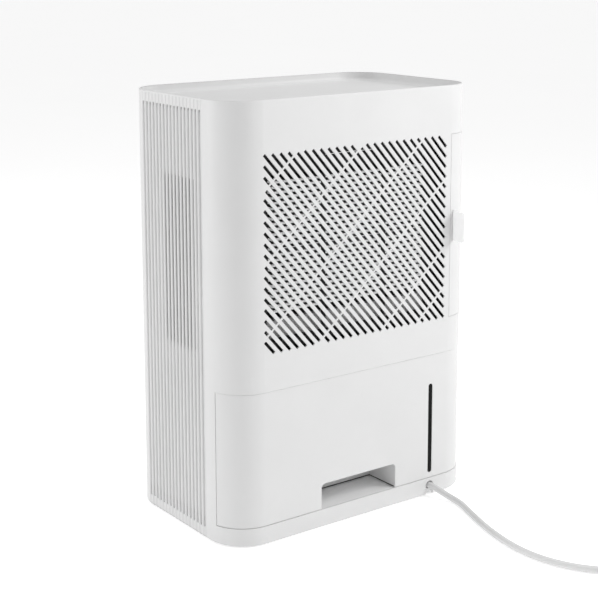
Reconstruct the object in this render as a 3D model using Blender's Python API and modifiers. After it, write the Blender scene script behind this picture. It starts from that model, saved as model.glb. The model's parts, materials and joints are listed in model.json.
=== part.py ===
"""A domestic compressor dehumidifier as an assembly of its real pieces.

The rear of the machine faces +Y and its front faces -Y.  The origin is on the floor, under the
middle of the machine with its filter tab.  Lengths are in metres, written as millimetres times MM.
Every position is given from the middle of the casing's plan; the stand moves all of it at once, so
that the tab's reach is shared between front and rear.  The supply lead's route is given from its
outlet: x from the outlet's middle, y from the casing's rear face, z from the floor.
"""

import math

import bmesh
import bpy
from mathutils import Matrix, Vector

MM = 0.001

# Casing
HEIGHT = 500 * MM
WIDTH = 358 * MM
DEPTH = 219 * MM
CORNER_RADIUS = 45.6 * MM
CORNER_SEGMENTS = 10
WALL = 2.5 * MM
GAP = 0.4 * MM
TOUCH = 0.3 * MM
FLOOR_GAP = 1.5 * MM
SEAM_FROM_REAR = 54.1 * MM
SIDE = WIDTH / 2
REAR = DEPTH / 2
SEAM_Y = REAR - SEAM_FROM_REAR

# Slots and flutes in both sides
SIDE_SLOTS = 17
SIDE_SLOT_WIDTH = 3.2 * MM
SIDE_SLOT_PITCH = 7.37 * MM
SIDE_SLOT_END = 12.6 * MM
LAST_SLOT_TO_SEAM = 4.2 * MM
FLUTE_DEPTH = 1.1 * MM
FLUTE_WIDTH = 5.8 * MM

# Base and feet
DECK_TOP = 22 * MM
DECK_THICKNESS = 2.5 * MM
BASE_UNDERSIDE = 3.5 * MM
FOOT_RADIUS = 13 * MM
FOOT_TAPER = 1 * MM
FOOT_SEAT = 9 * MM
FOOT_FROM_SIDE = 39 * MM
FOOT_FROM_REAR = 37.5 * MM
FOOT_X = SIDE - FOOT_FROM_SIDE
FOOT_Y = REAR - FOOT_FROM_REAR
BOSS_RADIUS = 16 * MM

# Water tank
TANK_TOP = 177.2 * MM
TANK_EDGE_FROM_REAR = 34.9 * MM
TANK_EDGE_Y = REAR - TANK_EDGE_FROM_REAR
TANK_PANEL_INSET = 0.6 * MM
BUCKET_WALL = 2.2 * MM
BUCKET_FRONT_Y = 10 * MM
BUCKET_GAP = 3 * MM
DIVIDER_REAR_Y = BUCKET_FRONT_Y - 2 * GAP
DIVIDER_FRONT_Y = DIVIDER_REAR_Y - WALL
BUCKET_BELOW_TOP = 9.2 * MM
BUCKET_TOP = TANK_TOP - BUCKET_BELOW_TOP
LID_THICKNESS = 2 * MM
DRIP_HOLE_RADIUS = 16 * MM
RECESS_WIDTH = 110 * MM
RECESS_TOP = 52 * MM
RECESS_DEPTH = 49.5 * MM
RECESS_CORNER = 8.5 * MM
RECESS_TOP_CORNER = 5 * MM
POCKET_FOOT_GAP = 1.6 * MM
WINDOW_FROM_SIDE = 69.5 * MM
WINDOW_X = WINDOW_FROM_SIDE - SIDE
WINDOW_WIDTH = 5.6 * MM
WINDOW_BOTTOM = 28.7 * MM
WINDOW_BELOW_TOP = 36.3 * MM
WINDOW_TOP = TANK_TOP - WINDOW_BELOW_TOP
LENS_MARGIN = 3 * MM
LENS_THICKNESS = 1.2 * MM

# Float in the tank
FLOAT_FROM_SIDE = 31 * MM
FLOAT_BELOW_BUCKET_TOP = 17 * MM
FLOAT_PIVOT_Y = BUCKET_FRONT_Y + BUCKET_WALL + TOUCH
FLOAT_PIVOT = Vector((SIDE - FLOAT_FROM_SIDE, FLOAT_PIVOT_Y, BUCKET_TOP - FLOAT_BELOW_BUCKET_TOP))
FLOAT_PIN_RADIUS = 2 * MM
FLOAT_CLEARANCE = 0.3 * MM
FLOAT_PIN_LENGTH = 40 * MM
FLOAT_WIDTH = 26 * MM
FLOAT_LENGTH = 34 * MM
FLOAT_HEIGHT = 18 * MM
FLOAT_ROUNDING = 2.5 * MM
FLOAT_ARM_LENGTH = 48 * MM
FLOAT_ARM_WIDTH = 14 * MM
FLOAT_ARM_HEIGHT = 10 * MM
FLOAT_FROM_PIN_START = 8 * MM

# Intake grille in the rear
GRILLE_FROM_LEFT = 44.5 * MM
GRILLE_FROM_RIGHT = 50.1 * MM
GRILLE_FROM_TOP = 58.7 * MM
GRILLE_ABOVE_TANK = 42.4 * MM
GRILLE_LEFT = SIDE - GRILLE_FROM_LEFT
GRILLE_RIGHT = GRILLE_FROM_RIGHT - SIDE
GRILLE_TOP = HEIGHT - GRILLE_FROM_TOP
GRILLE_BOTTOM = TANK_TOP + GRILLE_ABOVE_TANK
GRILLE_SLOT = 3.3 * MM
GRILLE_PITCH = 8.11 * MM
GRILLE_ANGLE = math.radians(48.2)
RIB_WIDTH = 3.8 * MM
RIB_PITCH = 61.2 * MM
RIBS = 5
FIRST_RIB_IN = 28.0 * MM
LAST_RIB_STEP = 36.5 * MM
SHORTEST_SLOT = 5.0 * MM

# Dish in the top
DISH_DEPTH = 11 * MM
DISH_LIP = 1.2 * MM
DISH_FILLET = 5 * MM
DISH_FLOOR = 2.5 * MM

# Air filter, its corner cover and its tab
FILTER_SEAM_FROM_SIDE = 42.5 * MM
FILTER_SEAM_X = FILTER_SEAM_FROM_SIDE - SIDE
FILTER_COVER_FROM_REAR = 43.5 * MM
FILTER_COVER_Y = REAR - FILTER_COVER_FROM_REAR
FILTER_BOTTOM = GRILLE_BOTTOM
FILTER_TOP = GRILLE_TOP + 0.9 * MM
FILTER_BEHIND_WALL = 6 * MM
FILTER_THICKNESS = 5 * MM
FILTER_REAR_Y = REAR - WALL - FILTER_BEHIND_WALL
FILTER_FRONT_Y = FILTER_REAR_Y - FILTER_THICKNESS
FILTER_BAR = 7 * MM
FILTER_PAST_GRILLE = 4.5 * MM
FILTER_EDGE_GAP = 2 * MM
FILTER_COLUMNS = 3
FILTER_ROWS = 2
FILTER_CROSS_BAR = 3 * MM
FILTER_NET = 0.8 * MM
TONGUE_HEIGHT = 60 * MM
TONGUE_LENGTH = 20 * MM
TONGUE_STEP = 1 * MM
TAB_PAST_SEAM = 5.3 * MM
TAB_X = FILTER_SEAM_X - TAB_PAST_SEAM
TAB_THICKNESS = 2 * MM
TAB_REACH = 20 * MM
TAB_HEIGHT = 36.7 * MM
TAB_CORNER = 5 * MM
TAB_ROOT = 6 * MM

# Cold and warm coils, their shroud and the drip tray
SHROUD_FROM_REAR = 17.5 * MM
SHROUD_DEPTH = 56 * MM
SHROUD_REAR_Y = REAR - SHROUD_FROM_REAR
SHROUD_FRONT_Y = SHROUD_REAR_Y - SHROUD_DEPTH
SHROUD_MIDDLE_Y = (SHROUD_FRONT_Y + SHROUD_REAR_Y) / 2
SHROUD_FROM_LEFT = 43 * MM
SHROUD_FROM_RIGHT = 47 * MM
SHROUD_LEFT = SIDE - SHROUD_FROM_LEFT
SHROUD_RIGHT = SHROUD_FROM_RIGHT - SIDE
SHROUD_ABOVE_TANK = 6.8 * MM
SHROUD_BOTTOM = TANK_TOP + SHROUD_ABOVE_TANK
SHROUD_BELOW_GRILLE_TOP = 11.3 * MM
SHROUD_TOP = GRILLE_TOP - SHROUD_BELOW_GRILLE_TOP
SHROUD_LEFT_WALL = 17 * MM
SHROUD_RIGHT_WALL = 20 * MM
SHROUD_TOP_WALL = 16 * MM
COIL_LEFT = SHROUD_LEFT - SHROUD_LEFT_WALL
COIL_RIGHT = SHROUD_RIGHT + SHROUD_RIGHT_WALL
COIL_ABOVE_SHROUD_BOTTOM = 66 * MM
COIL_BOTTOM = SHROUD_BOTTOM + COIL_ABOVE_SHROUD_BOTTOM
COIL_TOP = SHROUD_TOP - SHROUD_TOP_WALL
COIL_THICKNESS = 22 * MM
COIL_SPACING = 4 * MM
COIL_MARGIN = 0.5 * MM
FIN_GAPS = 24
FIN_THICKNESS = 3 * MM
FIN_SPINE = 5 * MM
TRAY_HEIGHT = 20 * MM
TRAY_WALL = 2 * MM
SPOUT_X = -40 * MM
SPOUT_RADIUS = 5 * MM
SPOUT_WALL = 1.5 * MM
SPOUT_BELOW_TANK_TOP = 2.7 * MM
SPOUT_END = TANK_TOP - SPOUT_BELOW_TANK_TOP
SPOUT_CLEARANCE = 2 * MM

# Fan
FAN_X = -20 * MM
FAN_ABOVE_MIDDLE = 4.5 * MM
FAN_Z = (SHROUD_BOTTOM + SHROUD_TOP) / 2 + FAN_ABOVE_MIDDLE
FAN_RADIUS = 82 * MM
FAN_LENGTH = 44 * MM
FAN_BLADES = 24
BLADE_CHORD = 15 * MM
BLADE_THICKNESS = 1.6 * MM
BLADE_PITCH = math.radians(35)
BLADE_FROM_RIM = 1 * MM
FAN_DISC = 3 * MM
FAN_HUB_RADIUS = 14 * MM
SCROLL_RADIUS = 94 * MM
SCROLL_TO_SHROUD = 4.5 * MM
SCROLL_DEPTH = 57.5 * MM
SCROLL_REAR_Y = SHROUD_FRONT_Y - SCROLL_TO_SHROUD
SCROLL_FRONT_Y = SCROLL_REAR_Y - SCROLL_DEPTH
SCROLL_WALL = 2.5 * MM
SCROLL_FROM_SIDE = 5 * MM
INLET_RADIUS = 66 * MM
SHAFT_RADIUS = 4 * MM
SHAFT_CLEARANCE = 1 * MM
SHAFT_RUNNING_GAP = 0.3 * MM
MOTOR_RADIUS = 37 * MM
MOTOR_LENGTH = 42 * MM
MOTOR_ROUNDING = 6 * MM
AXIAL_GAP = 3 * MM

# Compressor and pipes
COMPRESSOR_FROM_SIDE = 84 * MM
COMPRESSOR_X = COMPRESSOR_FROM_SIDE - SIDE
COMPRESSOR_Y = (WALL - REAR + DIVIDER_FRONT_Y) / 2
COMPRESSOR_RADIUS = 43 * MM
COMPRESSOR_BOTTOM = 40 * MM
COMPRESSOR_HEIGHT = 150 * MM
COMPRESSOR_DOME = 20 * MM
SKIRT_RADIUS = 33 * MM
SKIRT_HEIGHT = 10 * MM
PLATE_THICKNESS = 3 * MM
PLATE_MARGIN = 3 * MM
GROMMET_RADIUS = 9 * MM
GROMMET_WAIST = 6.8 * MM
GROMMET_CIRCLE = 54 * MM
GROMMET_ANGLES = (0, 145, 215)
STUD_RADIUS = 3 * MM
STUD_HEAD = 6 * MM
STUD_HEAD_HEIGHT = 4 * MM
PIPE_RADIUS = 3.2 * MM
FINE_PIPE_RADIUS = 1.6 * MM
PIPE_BEND = 6 * MM
PIPE_FROM_SIDE = 21 * MM
PIPE_RUN_X = PIPE_FROM_SIDE - SIDE
PIPE_START_GAP = 1.8 * MM
DISCHARGE_OFF_AXIS = 14 * MM
SUCTION_OFF_AXIS = 18 * MM
DISCHARGE_BELOW_TOP = 40 * MM
SUCTION_BELOW_TOP = 60 * MM
PIPE_FROM_COIL_ENDS = 20 * MM
DRIER_RADIUS = 9 * MM
DRIER_CONE = 12 * MM
DRIER_ABOVE_SUCTION = 22 * MM
DRIER_BELOW_DISCHARGE = 22 * MM
DRIER_FROM_CONDENSER = 22 * MM

# Controls
PANEL_WIDTH = 150 * MM
PANEL_HEIGHT = 34 * MM
PANEL_BELOW_TOP = 48 * MM
PANEL_Z = HEIGHT - PANEL_BELOW_TOP
BUTTONS = 3
BUTTON_PITCH = 22 * MM
BUTTON_RADIUS = 6 * MM
BUTTON_CLEARANCE = 0.5 * MM
BUTTON_DEPTH = 4 * MM
BUTTON_ROW_X = 44 * MM
DISPLAY_WIDTH = 44 * MM
DISPLAY_HEIGHT = 18 * MM
DISPLAY_X = -40 * MM
BOARD_THICKNESS = 1.6 * MM
BOARD_MARGIN = 6 * MM
BOARD_STANDOFF = 6 * MM

# Electrics
ELECTRICS_WIDTH = 100 * MM
ELECTRICS_DEPTH = 54 * MM
ELECTRICS_HEIGHT = 80 * MM
ELECTRICS_FROM_MOUNT = 22 * MM
ELECTRICS_FROM_FRONT = 11.5 * MM
ELECTRICS_ABOVE_DECK = 8 * MM
ELECTRICS_ROUNDING = 3 * MM
CAPACITOR_RADIUS = 18 * MM
CAPACITOR_LENGTH = 74 * MM
CAPACITOR_IN = 4 * MM
SENSOR_WIDTH = 76 * MM
SENSOR_DEPTH = 3.6 * MM
SENSOR_HEIGHT = 9.5 * MM
SENSOR_X = 8 * MM
SENSOR_TO_NET = 1.1 * MM
SWITCH_WIDTH = 26 * MM
SWITCH_DEPTH = 8 * MM
SWITCH_HEIGHT = 12 * MM

# Supply lead, its outlet and its plug
LEAD_RADIUS = 3.85 * MM
OUTLET_FROM_SIDE = 69.75 * MM
OUTLET_X = OUTLET_FROM_SIDE - SIDE
OUTLET_Z = 13 * MM
NOTCH_WIDTH = 11.5 * MM
GLAND_HOLE_RADIUS = 5.2 * MM
GLAND_WIDTH = 17 * MM
GLAND_THICKNESS = 2.4 * MM
GLAND_SET_BACK = 3 * MM
CLAMP_LENGTH = 14 * MM
CLAMP_WIDTH = 20 * MM
CLAMP_FROM_REAR = 24.8 * MM
LEAD_ROUTE = (
    (0.0000, -0.0245, 0.0130),
    (0.0000, -0.0115, 0.0130),
    (-0.0001, -0.0005, 0.0129),
    (-0.0013, 0.0090, 0.0115),
    (-0.0039, 0.0190, 0.0084),
    (-0.0063, 0.0295, 0.0054),
    (-0.0067, 0.0405, 0.0042),
    (-0.0043, 0.0525, 0.0041),
    (0.0011, 0.0675, 0.0041),
    (0.0081, 0.0865, 0.0041),
    (0.0161, 0.1095, 0.0041),
    (0.0235, 0.1355, 0.0041),
    (0.0288, 0.1625, 0.0041),
    (0.0307, 0.1895, 0.0041),
    (0.0273, 0.2175, 0.0041),
    (0.0178, 0.2435, 0.0041),
    (0.0023, 0.2665, 0.0041),
    (-0.0270, 0.2950, 0.0041),
    (-0.0600, 0.3135, 0.0041),
)
COIL_FROM_OUTLET = (-0.1067, 0.2875, 0.0)
COIL_MID_RADIUS = 42 * MM
COIL_LAYERS = 3
COIL_COLUMNS = 2
TAIL_LENGTH = 42 * MM
PLUG_LENGTH = 44 * MM
PLUG_WIDTH = 30 * MM
PLUG_HEIGHT = 23 * MM
PLUG_BOOT = 16 * MM
PLUG_BOOT_RADIUS = 7 * MM
PLUG_BOOT_TAPER = 2 * MM
PLUG_BOOT_OVERLAP = 4 * MM
PLUG_CORNER = 7 * MM
BLADE_LENGTH = 17 * MM
BLADE_HEIGHT = 6.5 * MM
PIN_THICKNESS = 1.6 * MM
PIN_SPACING = 12.7 * MM
EARTH_PIN_RADIUS = 2.4 * MM

LARGE = 1.0
UP = Vector((0, 0, 1))
REARWARD = Vector((0, 1, 0))

for old in list(bpy.data.objects):
    bpy.data.objects.remove(old, do_unlink=True)

PARTS = bpy.data.collections.new("dehumidifier")
CUTTERS = bpy.data.collections.new("cutters")
bpy.context.scene.collection.children.link(PARTS)
bpy.context.scene.collection.children.link(CUTTERS)


def material(name, colour, roughness, metallic=0.0):
    made = bpy.data.materials.new(name)
    made.use_nodes = True
    shader = made.node_tree.nodes["Principled BSDF"]
    shader.inputs["Base Color"].default_value = (*colour, 1.0)
    shader.inputs["Roughness"].default_value = roughness
    shader.inputs["Metallic"].default_value = metallic
    return made


WHITE_ABS = material("white_abs", (0.86, 0.87, 0.88), 0.5)
INNER_ABS = material("inner_abs", (0.03, 0.03, 0.032), 0.6)
CLEAR_TANK = material("tank_polypropylene", (0.75, 0.78, 0.8), 0.35)
DARK_LENS = material("smoked_lens", (0.01, 0.01, 0.012), 0.1)
TAB_PLASTIC = material("tab_polypropylene", (0.85, 0.86, 0.87), 0.3)
RUBBER = material("rubber", (0.04, 0.04, 0.04), 0.8)
ALUMINIUM = material("aluminium_fins", (0.7, 0.71, 0.72), 0.35, 1.0)
COPPER = material("copper_pipe", (0.72, 0.4, 0.26), 0.3, 1.0)
BLACK_STEEL = material("black_enamelled_steel", (0.02, 0.02, 0.022), 0.4, 0.5)
ZINC_STEEL = material("zinc_plated_steel", (0.6, 0.6, 0.6), 0.35, 1.0)
FAN_PLASTIC = material("fan_polypropylene", (0.08, 0.08, 0.09), 0.5)
NET = material("filter_net", (0.05, 0.05, 0.05), 0.7)
BOARD_GREEN = material("circuit_board", (0.02, 0.2, 0.08), 0.5)
LEAD_PVC = material("lead_pvc", (0.8, 0.81, 0.82), 0.5)
FOAM = material("float_foam", (0.85, 0.85, 0.82), 0.8)
BRASS = material("brass_pins", (0.7, 0.6, 0.4), 0.3, 1.0)


class Holder:
    """An empty and its place in the machine, so that what it carries can be placed from it."""

    def __init__(self, name, place, parent=None):
        self.place = Vector(place)
        self.empty = bpy.data.objects.new(name, None)
        self.empty.location = self.place
        if parent:
            self.empty.parent = parent.empty
            self.empty.location = self.place - parent.place
        PARTS.objects.link(self.empty)


STAND = Holder("machine", (0, 0, 0))
STAND.empty.location = (0, -TAB_REACH / 2, 0)


def add_object(name, data, shade, holder, collection):
    """An object for data, whose points are in the machine's own coordinates."""
    made = bpy.data.objects.new(name, data)
    if shade:
        data.materials.append(shade)
    if holder:
        made.parent = holder.empty
        data.transform(Matrix.Translation(-holder.place))
    collection.objects.link(made)
    return made


def mesh_of(bm, name):
    bmesh.ops.recalc_face_normals(bm, faces=bm.faces)
    data = bpy.data.meshes.new(name)
    bm.to_mesh(data)
    bm.free()
    return data


def part(name, bm, shade, holder=STAND, smooth=False):
    data = mesh_of(bm, name)
    if smooth:
        data.shade_smooth()
        data.set_sharp_from_angle(angle=math.radians(35))
    return add_object(name, data, shade, holder, PARTS)


def cutter(name, bm, holder=STAND):
    made = add_object(name, mesh_of(bm, name), None, holder, CUTTERS)
    made.hide_render = True
    made.display_type = "WIRE"
    return made


def combine(target, other, operation):
    change = target.modifiers.new(other.name, "BOOLEAN")
    change.operation = operation
    change.object = other


def cut(target, *others):
    for other in others:
        combine(target, other, "DIFFERENCE")


def join(target, *others):
    for other in others:
        combine(target, other, "UNION")


def block(low, high):
    """A box between two corners."""
    low, high = Vector(low), Vector(high)
    bm = bmesh.new()
    bmesh.ops.create_cube(bm, size=1.0)
    bmesh.ops.scale(bm, vec=high - low, verts=bm.verts)
    bmesh.ops.translate(bm, vec=(low + high) / 2, verts=bm.verts)
    return bm


def merged(bms):
    """Several separate shapes in one bmesh."""
    whole = bmesh.new()
    for bm in bms:
        data = bpy.data.meshes.new("piece")
        bm.to_mesh(data)
        bm.free()
        whole.from_mesh(data)
        bpy.data.meshes.remove(data)
    return whole


def round_edges(bm, chosen, radius, segments):
    edges = [edge for edge in bm.edges if chosen(edge)]
    bmesh.ops.bevel(bm, geom=edges, offset=radius, segments=segments, profile=0.5, affect="EDGES")
    return bm


def runs_along(edge, axis):
    a, b = (vert.co for vert in edge.verts)
    return abs((b - a).normalized()[axis]) > 0.999


def middle(edge):
    a, b = (vert.co for vert in edge.verts)
    return (a + b) / 2


def plan_block(inset, low, high):
    """A block with the casing's plan, drawn in by inset."""
    half_x, half_y = SIDE - inset, REAR - inset
    bm = block((-half_x, -half_y, low), (half_x, half_y, high))
    return round_edges(bm, lambda edge: runs_along(edge, 2), CORNER_RADIUS - inset, CORNER_SEGMENTS)


def rod(start, end, radius, sides=24, end_radius=None):
    """A cylinder or cone from start to end."""
    start, end = Vector(start), Vector(end)
    bm = bmesh.new()
    bmesh.ops.create_cone(
        bm,
        cap_ends=True,
        segments=sides,
        radius1=radius,
        radius2=radius if end_radius is None else end_radius,
        depth=(end - start).length,
    )
    turn = UP.rotation_difference(end - start).to_matrix()
    bmesh.ops.rotate(bm, cent=(0, 0, 0), matrix=turn, verts=bm.verts)
    bmesh.ops.translate(bm, vec=(start + end) / 2, verts=bm.verts)
    return bm


def turned(name, profile, centre, shade, holder=STAND, steps=32):
    """A shape turned about a vertical axis: profile runs top to bottom down its outer side."""
    data = bpy.data.meshes.new(name)
    bm = bmesh.new()
    verts = [bm.verts.new((radius, 0, z)) for radius, z in profile]
    for a, b in zip(verts, verts[1:]):
        bm.edges.new((a, b))
    bm.to_mesh(data)
    bm.free()
    made = bpy.data.objects.new(name, data)
    data.materials.append(shade)
    made.location = Vector(centre)
    if holder:
        made.parent = holder.empty
        made.location = Vector(centre) - holder.place
    PARTS.objects.link(made)
    screw = made.modifiers.new("turn", "SCREW")
    screw.steps = steps
    screw.render_steps = steps
    screw.use_merge_vertices = True
    screw.merge_threshold = 0.00001
    screw.use_smooth_shade = True
    return made


def tube(name, points, radius, shade, holder=STAND, resolution=2):
    """A round tube along points, with closed ends."""
    curve = bpy.data.curves.new(name, "CURVE")
    curve.dimensions = "3D"
    curve.bevel_depth = radius
    curve.bevel_resolution = resolution
    curve.use_fill_caps = True
    spline = curve.splines.new("POLY")
    spline.points.add(len(points) - 1)
    for point, place in zip(spline.points, points):
        point.co = (*place, 1.0)
    return add_object(name, curve, shade, holder, PARTS)


def smooth_path(route, spacing):
    """Points about spacing apart on a smooth curve through the route's points."""
    route = [Vector(p) for p in route]
    ends = [route[0] * 2 - route[1], *route, route[-1] * 2 - route[-2]]
    fine = []
    for a, b, c, d in zip(ends, ends[1:], ends[2:], ends[3:]):
        for step in range(20):
            t = step / 20
            fine.append(
                (b * 2 + (c - a) * t + (a * 2 - b * 5 + c * 4 - d) * t**2
                 + (b * 3 - a - c * 3 + d) * t**3) / 2
            )
    fine.append(route[-1])
    length = sum((b - a).length for a, b in zip(fine, fine[1:]))
    count = max(2, round(length / spacing))
    kept, walked = [fine[0]], 0.0
    for a, b in zip(fine, fine[1:]):
        walked += (b - a).length
        if walked >= len(kept) * length / count - 1e-9 and len(kept) < count:
            kept.append(b)
    return [*kept, fine[-1]]


def half_rear(bm, y):
    """Keep what is behind y."""
    return bisected(bm, (0, y, 0), (0, -1, 0))


def half_front(bm, y):
    return bisected(bm, (0, y, 0), (0, 1, 0))


def bisected(bm, place, outward):
    """Cut away what lies on the outward side of a plane, and close the cut."""
    geometry = bm.verts[:] + bm.edges[:] + bm.faces[:]
    done = bmesh.ops.bisect_plane(
        bm, geom=geometry, plane_co=place, plane_no=outward, clear_outer=True
    )
    rim = [item for item in done["geom_cut"] if isinstance(item, bmesh.types.BMEdge)]
    bmesh.ops.contextual_create(bm, geom=rim)
    return bm


# Casing: front cover, rear cover, top dish, base pan and feet


def side_cutters(side):
    """The slots and the flutes of one side, as cutters."""
    x = side * SIDE
    first = SEAM_Y - LAST_SLOT_TO_SEAM - (SIDE_SLOTS - 1) * SIDE_SLOT_PITCH
    slots, flutes = [], []
    for k in range(SIDE_SLOTS):
        y = first + k * SIDE_SLOT_PITCH
        half = SIDE_SLOT_WIDTH / 2
        slots.append(
            block(
                (x - 3 * WALL, y - half, SIDE_SLOT_END),
                (x + 3 * WALL, y + half, HEIGHT - SIDE_SLOT_END),
            )
        )
        flute = rod((x, y, -FLOOR_GAP), (x, y, HEIGHT + FLOOR_GAP), 1.0, sides=4)
        bmesh.ops.rotate(
            flute, cent=(x, y, 0), matrix=Matrix.Rotation(math.pi / 4, 3, "Z"), verts=flute.verts
        )
        bmesh.ops.scale(
            flute,
            vec=(FLUTE_DEPTH * math.sqrt(2), FLUTE_WIDTH / 2 * math.sqrt(2), 1),
            space=Matrix.Translation((-x, -y, 0)),
            verts=flute.verts,
        )
        flutes.append(flute)
    tag = "left" if side > 0 else "right"
    return cutter(f"slots_{tag}", merged(slots)), cutter(f"flutes_{tag}", merged(flutes))


def front_cover():
    outline = half_front(plan_block(0, FLOOR_GAP, HEIGHT), SEAM_Y - GAP / 2)
    shell = part("front_cover", outline, WHITE_ABS)
    cut(shell, cutter("front_hollow", plan_block(WALL, -LARGE, LARGE)))
    for side in (1, -1):
        cut(shell, *side_cutters(side))
    half = Vector((PANEL_WIDTH / 2 + GAP, 0, PANEL_HEIGHT / 2 + GAP))
    place = Vector((0, -REAR, PANEL_Z))
    reach = Vector((0, 3 * WALL, 0))
    cut(shell, cutter("panel_opening", block(place - half - reach, place + half + reach)))


def grille_slots():
    """The diagonal slots, each broken where a cross rib passes over it."""
    along = Vector((-math.cos(GRILLE_ANGLE), 0, -math.sin(GRILLE_ANGLE)))
    across = Vector((math.sin(GRILLE_ANGLE), 0, -math.cos(GRILLE_ANGLE)))
    half = GRILLE_SLOT / 2
    left, right = GRILLE_LEFT - half, GRILLE_RIGHT + half
    top, bottom = GRILLE_TOP - half, GRILLE_BOTTOM + half
    corner = Vector((left, 0, top))
    ribs = [FIRST_RIB_IN + k * RIB_PITCH for k in range(RIBS)]
    ribs.append(ribs[-1] + LAST_RIB_STEP)
    slots = []
    reach_x, reach_z = left - right, top - bottom
    first = -math.floor(reach_z * math.cos(GRILLE_ANGLE) / GRILLE_PITCH)
    last = math.floor(reach_x * math.sin(GRILLE_ANGLE) / GRILLE_PITCH)
    for k in range(first, last + 1):
        shift = k * GRILLE_PITCH
        if k >= 0:
            start = corner + Vector((-shift / math.sin(GRILLE_ANGLE), 0, 0))
        else:
            start = corner + Vector((0, 0, shift / math.cos(GRILLE_ANGLE)))
        length = min((right - start.x) / along.x, (bottom - start.z) / along.z)
        offset = (start - corner).dot(along)
        edges = [0.0]
        for rib in ribs:
            here = rib - offset
            if -half < here < length + half:
                edges += [here - (RIB_WIDTH / 2 + half), here + RIB_WIDTH / 2 + half]
        edges.append(length)
        for a, b in zip(edges[::2], edges[1::2]):
            if b - a + GRILLE_SLOT >= SHORTEST_SLOT:
                slots.append((start + along * (a - half), start + along * (b + half), across))
    return slots


def grille_cutter():
    shapes = []
    y = REAR - WALL / 2
    for a, b, across in grille_slots():
        length = (b - a).length
        bm = block(
            (-length / 2, -2 * WALL, -GRILLE_SLOT / 2), (length / 2, 2 * WALL, GRILLE_SLOT / 2)
        )
        turn = Matrix.Rotation(-math.atan2((b - a).z, (b - a).x), 3, "Y")
        bmesh.ops.rotate(bm, cent=(0, 0, 0), matrix=turn, verts=bm.verts)
        bmesh.ops.translate(bm, vec=(a + b) / 2 + Vector((0, y, 0)), verts=bm.verts)
        shapes.append(bm)
    return cutter("grille_slots", merged(shapes))


def notch_block(width, y_low, top):
    """A notch for the lead, open at the bottom and to the rear."""
    half = width / 2
    return block((OUTLET_X - half, y_low, -FLOOR_GAP), (OUTLET_X + half, DEPTH, top))


def rear_cover():
    outline = half_rear(plan_block(0, FLOOR_GAP, HEIGHT), SEAM_Y + GAP / 2)
    shell = part("rear_cover", outline, WHITE_ABS)
    cut(shell, cutter("rear_hollow", plan_block(WALL, -LARGE, LARGE)))
    cut(
        shell,
        cutter("tank_opening", block((-WIDTH, TANK_EDGE_Y, DECK_TOP), (WIDTH, DEPTH, TANK_TOP))),
        cutter(
            "filter_opening",
            block((-WIDTH, FILTER_COVER_Y, FILTER_BOTTOM), (FILTER_SEAM_X, DEPTH, FILTER_TOP)),
        ),
        grille_cutter(),
        cutter(
            "lead_notch",
            round_edges(
                notch_block(NOTCH_WIDTH, REAR - 2 * WALL, OUTLET_Z + GLAND_HOLE_RADIUS),
                lambda edge: runs_along(edge, 1) and middle(edge).z > 0,
                NOTCH_WIDTH / 2 * 0.98,
                6,
            ),
        ),
    )


def top_cover():
    outer = WALL + TOUCH
    floor = HEIGHT - DISH_DEPTH
    dish = part("top_cover", plan_block(outer, floor - DISH_FLOOR, HEIGHT - TOUCH), WHITE_ABS)
    bowl = plan_block(outer + DISH_LIP, floor, HEIGHT + DISH_DEPTH)
    round_edges(
        bowl,
        lambda edge: middle(edge).z < floor + 0.01 * MM and not runs_along(edge, 2),
        DISH_FILLET,
        3,
    )
    cut(dish, cutter("dish_bowl", bowl))


def base_pan():
    outer = WALL + GAP
    pan = part("base_pan", plan_block(outer, BASE_UNDERSIDE, DECK_TOP), WHITE_ABS)
    under = cutter("base_hollow", plan_block(outer + WALL, 0, DECK_TOP - DECK_THICKNESS))
    bosses = merged(
        rod((x, y, -FOOT_SEAT), (x, y, DECK_TOP), BOSS_RADIUS)
        for x in (-FOOT_X, FOOT_X)
        for y in (-FOOT_Y, FOOT_Y)
    )
    cut(under, cutter("foot_bosses", bosses))
    seats = merged(
        rod((x, y, 0), (x, y, FOOT_SEAT), FOOT_RADIUS + TOUCH)
        for x in (-FOOT_X, FOOT_X)
        for y in (-FOOT_Y, FOOT_Y)
    )
    studs = merged(
        rod((*place, 0), (*place, LARGE), STUD_RADIUS + TOUCH, 12) for place in stud_places()
    )
    cut(
        pan,
        under,
        cutter("foot_seats", seats),
        cutter("stud_holes", studs),
        cutter(
            "pan_notch",
            notch_block(
                GLAND_WIDTH + 2 * TOUCH,
                REAR - outer - 2 * WALL,
                DECK_TOP - DECK_THICKNESS - TOUCH,
            ),
        ),
    )
    number = 0
    for x in (-FOOT_X, FOOT_X):
        for y in (-FOOT_Y, FOOT_Y):
            number += 1
            part(
                f"foot_{number}",
                rod((x, y, 0), (x, y, FOOT_SEAT - TOUCH), FOOT_RADIUS - FOOT_TAPER, 24, FOOT_RADIUS),
                RUBBER,
                smooth=True,
            )


# Water tank: front panel with its finger pocket, bucket, lid, level lens and float


def pocket_block(margin, rear, top_margin):
    """The finger pocket's space, grown by margin."""
    half = RECESS_WIDTH / 2 + margin
    front = REAR - RECESS_DEPTH - margin
    bm = block((-half, front, -LARGE / 10), (half, rear, RECESS_TOP + top_margin))
    round_edges(
        bm,
        lambda edge: runs_along(edge, 1) and middle(edge).z > 0,
        RECESS_TOP_CORNER + margin,
        4,
    )
    return round_edges(
        bm,
        lambda edge: runs_along(edge, 2) and middle(edge).y < front + 0.01 * MM,
        RECESS_CORNER + margin,
        5,
    )


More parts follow.
